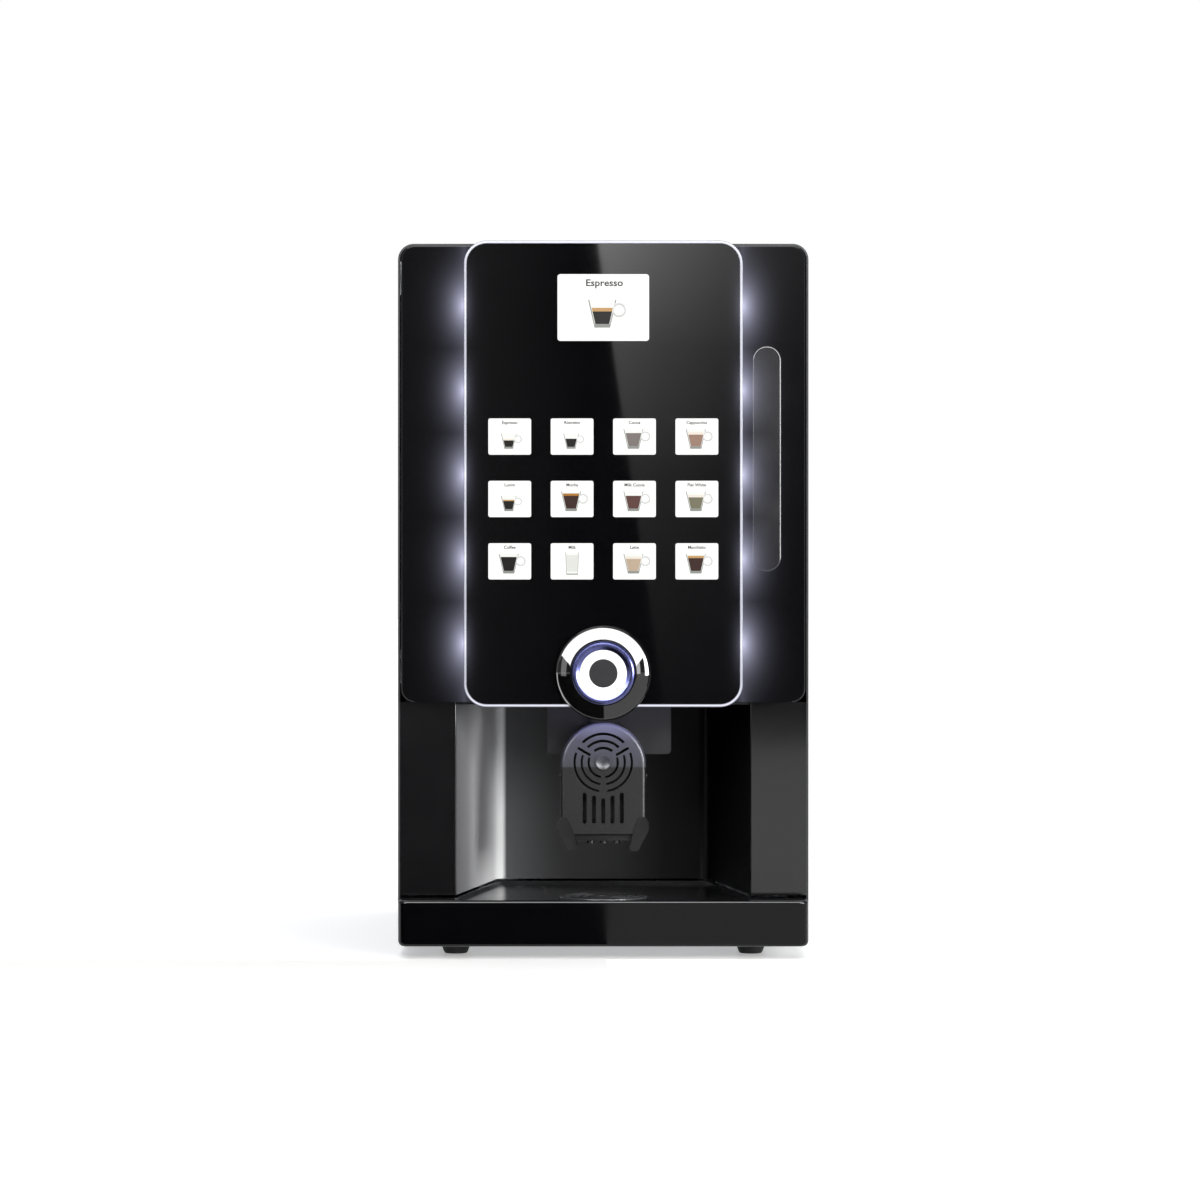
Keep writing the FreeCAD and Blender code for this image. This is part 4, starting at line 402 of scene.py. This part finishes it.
for finish, names in FINISHES.items():
    for node_name in names:
        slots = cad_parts[node_name].material_slots
        for material_slot in slots:
            material_slot.material = finish


# ---------------------------------------------------------------- modelling helpers
def deselect():
    if bpy.context.mode != "OBJECT":
        bpy.ops.object.mode_set(mode="OBJECT")
    bpy.ops.object.select_all(action="DESELECT")


def named(name, material):
    """The active new object, named and given its finish."""
    piece = bpy.context.object
    piece.name = name
    piece.data.name = name
    piece.data.materials.clear()
    piece.data.materials.append(material)
    return piece


def settle(piece):
    """Puts a piece's place into its mesh."""
    deselect()
    piece.select_set(True)
    bpy.context.view_layer.objects.active = piece
    bpy.ops.object.transform_apply(location=True, rotation=True, scale=True)


def join(pieces, name):
    deselect()
    for piece in pieces:
        piece.select_set(True)
    bpy.context.view_layer.objects.active = pieces[0]
    bpy.ops.object.join()
    result = bpy.context.object
    result.name = name
    result.data.name = name
    return result


# ---------------------------------------------------------------- turned bezel
def turned(name, profile, material, sides=192):
    """A piece turned about the knob's axis. profile holds radius and depth, first and last on
    the axis; each ring is extruded from the one before."""
    deselect()
    radius, depth = profile[0]
    bpy.ops.mesh.primitive_circle_add(vertices=sides, radius=radius, rotation=(math.pi / 2, 0, 0),
                                      location=(0.0, BEZEL_BACK + depth, KNOB.z))
    settle(named(name, material))
    bpy.ops.object.mode_set(mode="EDIT")
    bpy.ops.mesh.select_all(action="SELECT")
    for next_radius, next_depth in profile[1:]:
        bpy.ops.mesh.extrude_region_move(
            TRANSFORM_OT_translate={"value": (0.0, next_depth - depth, 0.0)})
        bpy.ops.transform.resize(value=(next_radius / radius, 1.0, next_radius / radius),
                                 center_override=(0.0, BEZEL_BACK + next_depth, KNOB.z))
        radius, depth = next_radius, next_depth
    bpy.ops.mesh.select_all(action="SELECT")
    bpy.ops.mesh.remove_doubles(threshold=0.05 * MM)
    bpy.ops.mesh.normals_make_consistent(inside=False)
    bpy.ops.object.mode_set(mode="OBJECT")
    bpy.ops.object.shade_smooth_by_angle(angle=math.radians(20))
    return bpy.context.object


BEZEL_STAND = 6.9 * MM                          # from the lit rim out to the inner lip
BEZEL_BACK = KNOB_LOW.y + BEZEL_STAND           # where the ring rests on the lit rim
BEZEL_R = (KNOB_HIGH.x - KNOB_LOW.x) / 2
BEZEL_INNER = (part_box("start_button")[1].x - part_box("start_button")[0].x) / 2 + 0.35 * MM
BARREL_END = KNOB_HIGH.y - BEZEL_BACK
BARREL_R, BARREL_WALL = 27.0 * MM, 2.5 * MM


def bezel_face():
    """The face rises from a steep outer edge, 25 degrees, to a flat inner one, 13 degrees."""
    start, stop, steps = BEZEL_INNER + 1.6 * MM, BEZEL_R - 2.0 * MM, 16
    depth, ring = -BEZEL_STAND, []
    for k in range(steps + 1):
        ring.append((start + (stop - start) * k / steps, depth))
        slope = math.radians(13 + 12 * (k + 0.5) / steps)
        depth += math.tan(slope) * (stop - start) / steps
    return ring


AXIS = 0.02 * MM
bezel = turned("turned_bezel", [
    (AXIS, BARREL_END - 2 * MM), (BARREL_R - BARREL_WALL, BARREL_END - 2 * MM),
    (BARREL_R - BARREL_WALL, -1.6 * MM), (BEZEL_INNER, -1.6 * MM),
    (BEZEL_INNER, 0.5 * MM - BEZEL_STAND), (BEZEL_INNER + 0.5 * MM, -BEZEL_STAND)] + bezel_face() + [
    (BEZEL_R - 1.6 * MM, -3.2 * MM), (BEZEL_R - 0.7 * MM, -3.4 * MM), (BEZEL_R, -2.6 * MM),
    (BEZEL_R, -0.6 * MM), (BEZEL_R - 0.6 * MM, 0.0), (BARREL_R, 0.0), (BARREL_R, BARREL_END),
    (AXIS, BARREL_END)], piano_black)
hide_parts("knob_bezel")
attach(bezel, "door")


# ---------------------------------------------------------------- drink pictures
PRINT_Y = WINDOW_LOW.y - 0.3 * MM         # the film's first colour, just off the window
PRINT_STEP = 0.15 * MM
line_grey = backlit("picture_glass_line", "#9b9e98", 0.8)
air_white = backlit("picture_clear_glass", "#f1f3ee", 0.97)
handle_grey = backlit("picture_handle", "#d6d8d5", 0.9)
label_ink = backlit("picture_label_ink", "#3c3d40", 0.7)


def relief_cone(x, y, z, bottom, top, height, material, name):
    """A cup shape in low relief: a cone flattened against the window."""
    deselect()
    bpy.ops.mesh.primitive_cone_add(vertices=40, radius1=bottom, radius2=top, depth=height,
                                    location=(x, y, z + height / 2))
    bpy.context.object.scale = (1.0, 0.003, 1.0)
    piece = named(name, material)
    settle(piece)
    return piece


def cup_picture(name, x, z, size, level, drink, crema, foam):
    """A clear cup with a ring handle; size is its height, level how full it is."""
    y = PRINT_Y
    top, bottom, wall = size * 0.51, size * 0.28, size * 0.04
    lean = (top - bottom) / size
    parts = [relief_cone(x, y, z, bottom, top, size, line_grey, name + "_wall"),
             relief_cone(x, y - PRINT_STEP, z + wall * 3.2, bottom + lean * wall * 3.2 - wall,
                         top - wall, size - wall * 3.2, air_white, name + "_air")]
    deselect()
    bpy.ops.mesh.primitive_torus_add(major_radius=size * 0.22, minor_radius=size * 0.05,
                                     major_segments=32, minor_segments=8,
                                     location=(x + top * 1.18, y, z + size * 0.64),
                                     rotation=(math.pi / 2, 0, 0))
    bpy.context.object.scale = (1.0, 1.0, 0.1)
    ring = named(name + "_handle", handle_grey)
    settle(ring)
    parts.append(ring)
    low, high = size * 0.13, size * level

    def inside(rise):
        """The drink's half width at this rise above the cup's foot."""
        return bottom + lean * rise - wall * 1.5

    parts.append(relief_cone(x, y - 2 * PRINT_STEP, z + low, inside(low), inside(high),
                             high - low, drink, name + "_drink"))
    if crema:
        thick = size * foam
        parts.append(relief_cone(x, y - 2.1 * PRINT_STEP, z + high, inside(high),
                                 inside(high + thick), thick, crema, name + "_crema"))
    return join(parts, name)


def tumbler_picture(name, x, z, size, drink):
    """A straight glass of milk."""
    y = PRINT_Y
    r = size * 0.30
    parts = [relief_cone(x, y, z, r * 0.86, r, size, line_grey, name + "_wall"),
             relief_cone(x, y - PRINT_STEP, z + size * 0.05, r * 0.80, r * 0.93, size * 0.95,
                         air_white, name + "_air"),
             relief_cone(x, y - 2 * PRINT_STEP, z + size * 0.14, r * 0.80, r * 0.90, size * 0.74,
                         drink, name + "_milk")]
    return join(parts, name)


def label(name, text, x, z, height, width=None):
    """A drink's plain name above its cup; width, if given, sets how long the word is."""
    deselect()
    bpy.ops.object.text_add(location=(x, WINDOW_LOW.y - 0.5 * MM, z), rotation=(math.pi / 2, 0, 0))
    words = bpy.context.object
    words.data.body = text
    words.data.size = height
    words.data.align_x, words.data.align_y = "CENTER", "CENTER"
    words.data.extrude = 0.04 * MM
    words.data.offset = height * 0.02              # a bolder stroke
    words.data.resolution_u = 3
    bpy.ops.object.convert(target="MESH")
    piece = named(name, label_ink)
    if width:
        piece.scale.x = width / piece.dimensions.x
    settle(piece)
    return piece


DRINKS = {code: backlit("picture_" + code, colour, 0.95) for code, colour in (
    ("black", "#15120f"), ("dark", "#3a221c"), ("cocoa", "#7d7470"), ("mocha", "#5d3c37"),
    ("milky", "#9c7d6d"), ("olive", "#77745e"), ("latte", "#c0ab93"), ("milk", "#e3e4de"),
    ("crema", "#c59a62"), ("gold", "#b0762f"), ("foam", "#efe6da"))}
MENU = (
    ("Espresso", 15.4, 0.55, "black", "foam", 0.10),
    ("Ristretto", 15.4, 0.66, "black", None, 0.0),
    ("Cocoa", 19.8, 0.80, "cocoa", None, 0.0),
    ("Cappuccino", 19.8, 0.72, "milky", "foam", 0.14),
    ("Lungo", 15.4, 0.66, "black", "crema", 0.08),
    ("Mocha", 19.8, 0.78, "dark", "gold", 0.12),
    ("Milk Cocoa", 19.8, 0.78, "mocha", None, 0.0),
    ("Flat White", 19.8, 0.70, "olive", "foam", 0.12),
    ("Coffee", 19.8, 0.84, "black", None, 0.0),
    ("Milk", 22.5, 0.80, "milk", None, 0.0),
    ("Latte", 19.8, 0.74, "latte", "foam", 0.12),
    ("Macchiato", 19.8, 0.78, "dark", "crema", 0.12),
)
KEY_SIZE = (43.0 * MM, 36.4 * MM)
COLUMNS, ROWS = 4, 3
CUP_ASIDE, CUP_DROP, TUMBLER_DROP = 1.0 * MM, 12.3 * MM, 13.5 * MM     # from a key's middle
WORD_RISE, WORD_SIZE = 13.9 * MM, 4.4 * MM
SCREEN_DROP = 33.5 * MM                         # from the windows' top to the screen's middle
SCREEN_CUP_DROP, SCREEN_CUP_SIZE = 20.2 * MM, 28 * MM
SCREEN_WORD_ASIDE, SCREEN_WORD_RISE = 1.0 * MM, 24.5 * MM
SCREEN_WORD_SIZE, SCREEN_WORD_WIDTH = 9.6 * MM, 37 * MM
key_pitch = (WINDOW_HIGH.x - WINDOW_LOW.x - KEY_SIZE[0]) / (COLUMNS - 1)
low_row = WINDOW_LOW.z + KEY_SIZE[1] / 2
for index, (text, cup_mm, level, drink, crema, foam) in enumerate(MENU):
    row, column = divmod(index, COLUMNS)
    x = WINDOW_LOW.x + KEY_SIZE[0] / 2 + column * key_pitch
    z = low_row + (ROWS - 1 - row) * key_pitch
    tag = text.lower().replace(" ", "_")
    if drink == "milk":
        picture = tumbler_picture("picture_" + tag, x, z - TUMBLER_DROP, cup_mm * MM,
                                  DRINKS[drink])
    else:
        picture = cup_picture("picture_" + tag, x - CUP_ASIDE, z - CUP_DROP, cup_mm * MM, level,
                              DRINKS[drink], DRINKS.get(crema), foam)
    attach(picture, "door")
    words = label("label_" + tag, text, x, z + WORD_RISE, WORD_SIZE)
    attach(words, "door")

screen_z = WINDOW_HIGH.z - SCREEN_DROP
main_cup = cup_picture("picture_screen_cup", -CUP_ASIDE, screen_z - SCREEN_CUP_DROP,
                       SCREEN_CUP_SIZE, 0.58, DRINKS["black"], DRINKS["crema"], 0.13)
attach(main_cup, "door")
main_words = label("label_screen", "Espresso", SCREEN_WORD_ASIDE, screen_z + SCREEN_WORD_RISE,
                   SCREEN_WORD_SIZE, width=SCREEN_WORD_WIDTH)
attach(main_words, "door")


# ---------------------------------------------------------------- room, lights and camera
def card(name, corners, material, glossy_only=True):
    """A flat studio card from its corner points."""
    mesh = bpy.data.meshes.new(name)
    mesh.from_pydata(corners, [], [tuple(range(len(corners)))])
    piece = bpy.data.objects.new(name, mesh)
    bpy.context.scene.collection.objects.link(piece)
    mesh.materials.append(material)
    if glossy_only:
        piece.visible_camera = False
        piece.visible_diffuse = False
        piece.visible_shadow = False
        piece.visible_transmission = False
        piece.visible_volume_scatter = False
    return piece


def glowing(name, colour, strength):
    material = blank(name)
    lamp = add_node(material, "ShaderNodeEmission",
                    {"Color": linear(colour), "Strength": strength})
    add_node(material, "ShaderNodeOutputMaterial", {}, {"Surface": lamp.outputs["Emission"]})
    return material


def fading(name, start, end, levels, low, high, fades):
    """A card whose light changes across and up it. levels are its strengths from x start to
    x end; fades are the factors from z low to z high."""
    material = blank(name)
    place = add_node(material, "ShaderNodeTexCoord").outputs["Object"]
    axes = add_node(material, "ShaderNodeSeparateXYZ", {}, {"Vector": place}).outputs
    total = None
    for axis, lo, hi, values in (("X", start, end, levels), ("Z", low, high, fades)):
        part = add_node(material, "ShaderNodeMapRange", {"From Min": lo, "From Max": hi},
                        {"Value": axes[axis]})
        ramp = add_node(material, "ShaderNodeValToRGB", {}, {"Fac": part.outputs["Result"]})
        points = ramp.color_ramp.elements
        while len(points) < len(values):
            points.new(0.5)
        for n, value in enumerate(values):
            points[n].position = n / (len(values) - 1)
            points[n].color = (value, value, value, 1.0)
        if total is None:
            total = ramp.outputs["Color"]
        else:
            total = add_node(material, "ShaderNodeMath", {"operation": "MULTIPLY"},
                             {0: total, 1: ramp.outputs["Color"]}).outputs[0]
    boost = add_node(material, "ShaderNodeMath", {"operation": "MULTIPLY", 1: 6.0}, {0: total})
    lamp = add_node(material, "ShaderNodeEmission", {}, {"Strength": boost.outputs[0]})
    add_node(material, "ShaderNodeOutputMaterial", {}, {"Surface": lamp.outputs["Emission"]})
    return material


floor_paint = grained("floor_paint", "#f4f4f2", 0.3, 4.0, 0.0, spread=0.02,
                      **{"Emission Color": linear("#ffffff"), "Emission Strength": 0.3})
card("floor", [(-60, -60, 0), (60, -60, 0), (60, 60, 0), (-60, 60, 0)], floor_paint,
     glossy_only=False)

# Cards at CARD_Y are what the flat front faces mirror: a soft light whose slanted edge crosses
# the glass, fading to the right and downward, and darkness to its left.
CARD_Y = -5.5
CARD_LOW, CARD_HIGH = -0.02, 1.6
SEAM_LOW, SEAM_HIGH = 0.173, -0.059       # x of the slanted edge at the cards' foot and top
soft_card = fading("softbox_cloth", 0.0, 0.6, (1.0, 0.62, 0.36, 0.2, 0.12),
                   0.05, 1.3, (0.012, 0.04, 0.09, 0.24, 0.68))
card("softbox_front", [(SEAM_LOW, CARD_Y, CARD_LOW), (1.6, CARD_Y, CARD_LOW),
                       (1.6, CARD_Y, CARD_HIGH), (SEAM_HIGH, CARD_Y, CARD_HIGH)], soft_card)
dim_card = fading("flag_cloth", -0.6, -0.05, (0.04, 0.04, 0.02, 0.0), 0.0, 1.3, (0.3, 1.0))
card("flag_front", [(-1.6, CARD_Y, CARD_LOW), (SEAM_LOW, CARD_Y, CARD_LOW),
                    (SEAM_HIGH, CARD_Y, CARD_HIGH), (-1.6, CARD_Y, CARD_HIGH)], dim_card)


def floor_cloth(name, left, right, material):
    """A cloth on the floor before the machine, which only polished faces mirror."""
    near, far, up = -9.0, -0.287, 0.0005
    card(name, [(left, near, up), (right, near, up), (right, far, up), (left, far, up)], material)


CLOTH_SEAM = 0.0037                       # x where the black cloth meets the grey one
floor_cloth("flag_floor", -6.0, CLOTH_SEAM, glowing("flag_black", "#000000", 0.0))
floor_cloth("grey_floor", CLOTH_SEAM, 6.0, glowing("grey_cloth", "#ffffff", 1.2))


def arch_card(y, inner, outer, low_inner, low_outer, material):
    """An arch-shaped softbox round the knob's axis; the angles are where its feet end."""
    rim = []
    for radius, first in ((outer, low_outer), (inner, low_inner)):
        steps = [first + (180 - 2 * first) * k / 24 for k in range(25)]
        points = [(radius * math.cos(math.radians(a)), y,
                   KNOB.z + radius * math.sin(math.radians(a))) for a in steps]
        rim += points if radius == outer else points[::-1]
    return card("softbox_arch", rim, material)


arch_card(y=-4.0, inner=1.73, outer=4.65, low_inner=8, low_outer=22,
          material=glowing("arch_cloth", "#ffffff", 22.0))


def softbox(name, place, target, width, height, power, colour="#ffffff"):
    data = bpy.data.lights.new(name, "AREA")
    data.shape = "RECTANGLE"
    data.size, data.size_y, data.energy = width, height, power
    data.color = linear(colour)[:3]
    lamp = bpy.data.objects.new(name, data)
    lamp.location = place
    lamp.rotation_euler = (Vector(target) - Vector(place)).to_track_quat("-Z", "Y").to_euler()
    lamp.visible_camera = False
    bpy.context.scene.collection.objects.link(lamp)
    return lamp


NICHE = (0.0, -0.1, 0.16)
softbox("key_right_wide", (2.25, -1.95, 0.62), NICHE, 0.9, 1.0, 120.0)
softbox("key_right", (1.15, -2.6, 0.75), NICHE, 0.8, 1.1, 22.0)
softbox("fill_left", (-1.7, -2.3, 0.7), NICHE, 0.5, 1.2, 5.0)
niche_lamp = softbox("niche_lamp", (0.0, -0.228, 0.2525), (0.0, -0.19, 0.1), 0.2, 0.02, 0.10,
                     "#b9b9e6")
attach(niche_lamp, "door")

sun = bpy.data.objects.new("overhead", bpy.data.lights.new("overhead", "SUN"))
sun.data.energy, sun.data.angle = 2.4, math.radians(70)
sun.location = (0, 0, 3)
bpy.context.scene.collection.objects.link(sun)


def studio_world():
    """White to the eye, dim to matt surfaces; polished ones see a room that is dark in front."""
    world = bpy.data.worlds.new("studio")
    world.use_nodes = True
    world.node_tree.nodes.clear()
    path = add_node(world, "ShaderNodeLightPath")
    place = add_node(world, "ShaderNodeTexCoord")
    axes = add_node(world, "ShaderNodeSeparateXYZ", {}, {"Vector": place.outputs["Generated"]})
    room = add_node(world, "ShaderNodeMapRange",
                    {"From Min": -0.9, "From Max": -0.35, "To Min": 0.12, "To Max": 0.8},
                    {"Value": axes.outputs["Y"]})
    white = add_node(world, "ShaderNodeBackground", {"Color": linear("#ffffff"), "Strength": 1.0})
    polished = add_node(world, "ShaderNodeBackground", {"Color": linear("#f4f6ff")},
                        {"Strength": room.outputs["Result"]})
    matt = add_node(world, "ShaderNodeBackground", {"Color": linear("#ffffff"), "Strength": 0.15})
    indirect = add_node(world, "ShaderNodeMixShader", {},
                        {0: path.outputs["Is Glossy Ray"], 1: matt.outputs["Background"],
                         2: polished.outputs["Background"]})
    seen = add_node(world, "ShaderNodeMixShader", {},
                    {0: path.outputs["Is Camera Ray"], 1: indirect.outputs["Shader"],
                     2: white.outputs["Background"]})
    add_node(world, "ShaderNodeOutputWorld", {}, {"Surface": seen.outputs["Shader"]})
    bpy.context.scene.world = world


studio_world()
bpy.context.scene.view_settings.view_transform = "Standard"

lens = bpy.data.cameras.new("camera")
lens.lens, lens.sensor_width = 105.0, 36.0
lens.clip_end = 200.0
camera = bpy.data.objects.new("camera", lens)
camera.location = (-0.0033, -3.78, 0.359)
camera.rotation_euler = (math.pi / 2, 0, 0)
bpy.context.scene.collection.objects.link(camera)
bpy.context.scene.camera = camera
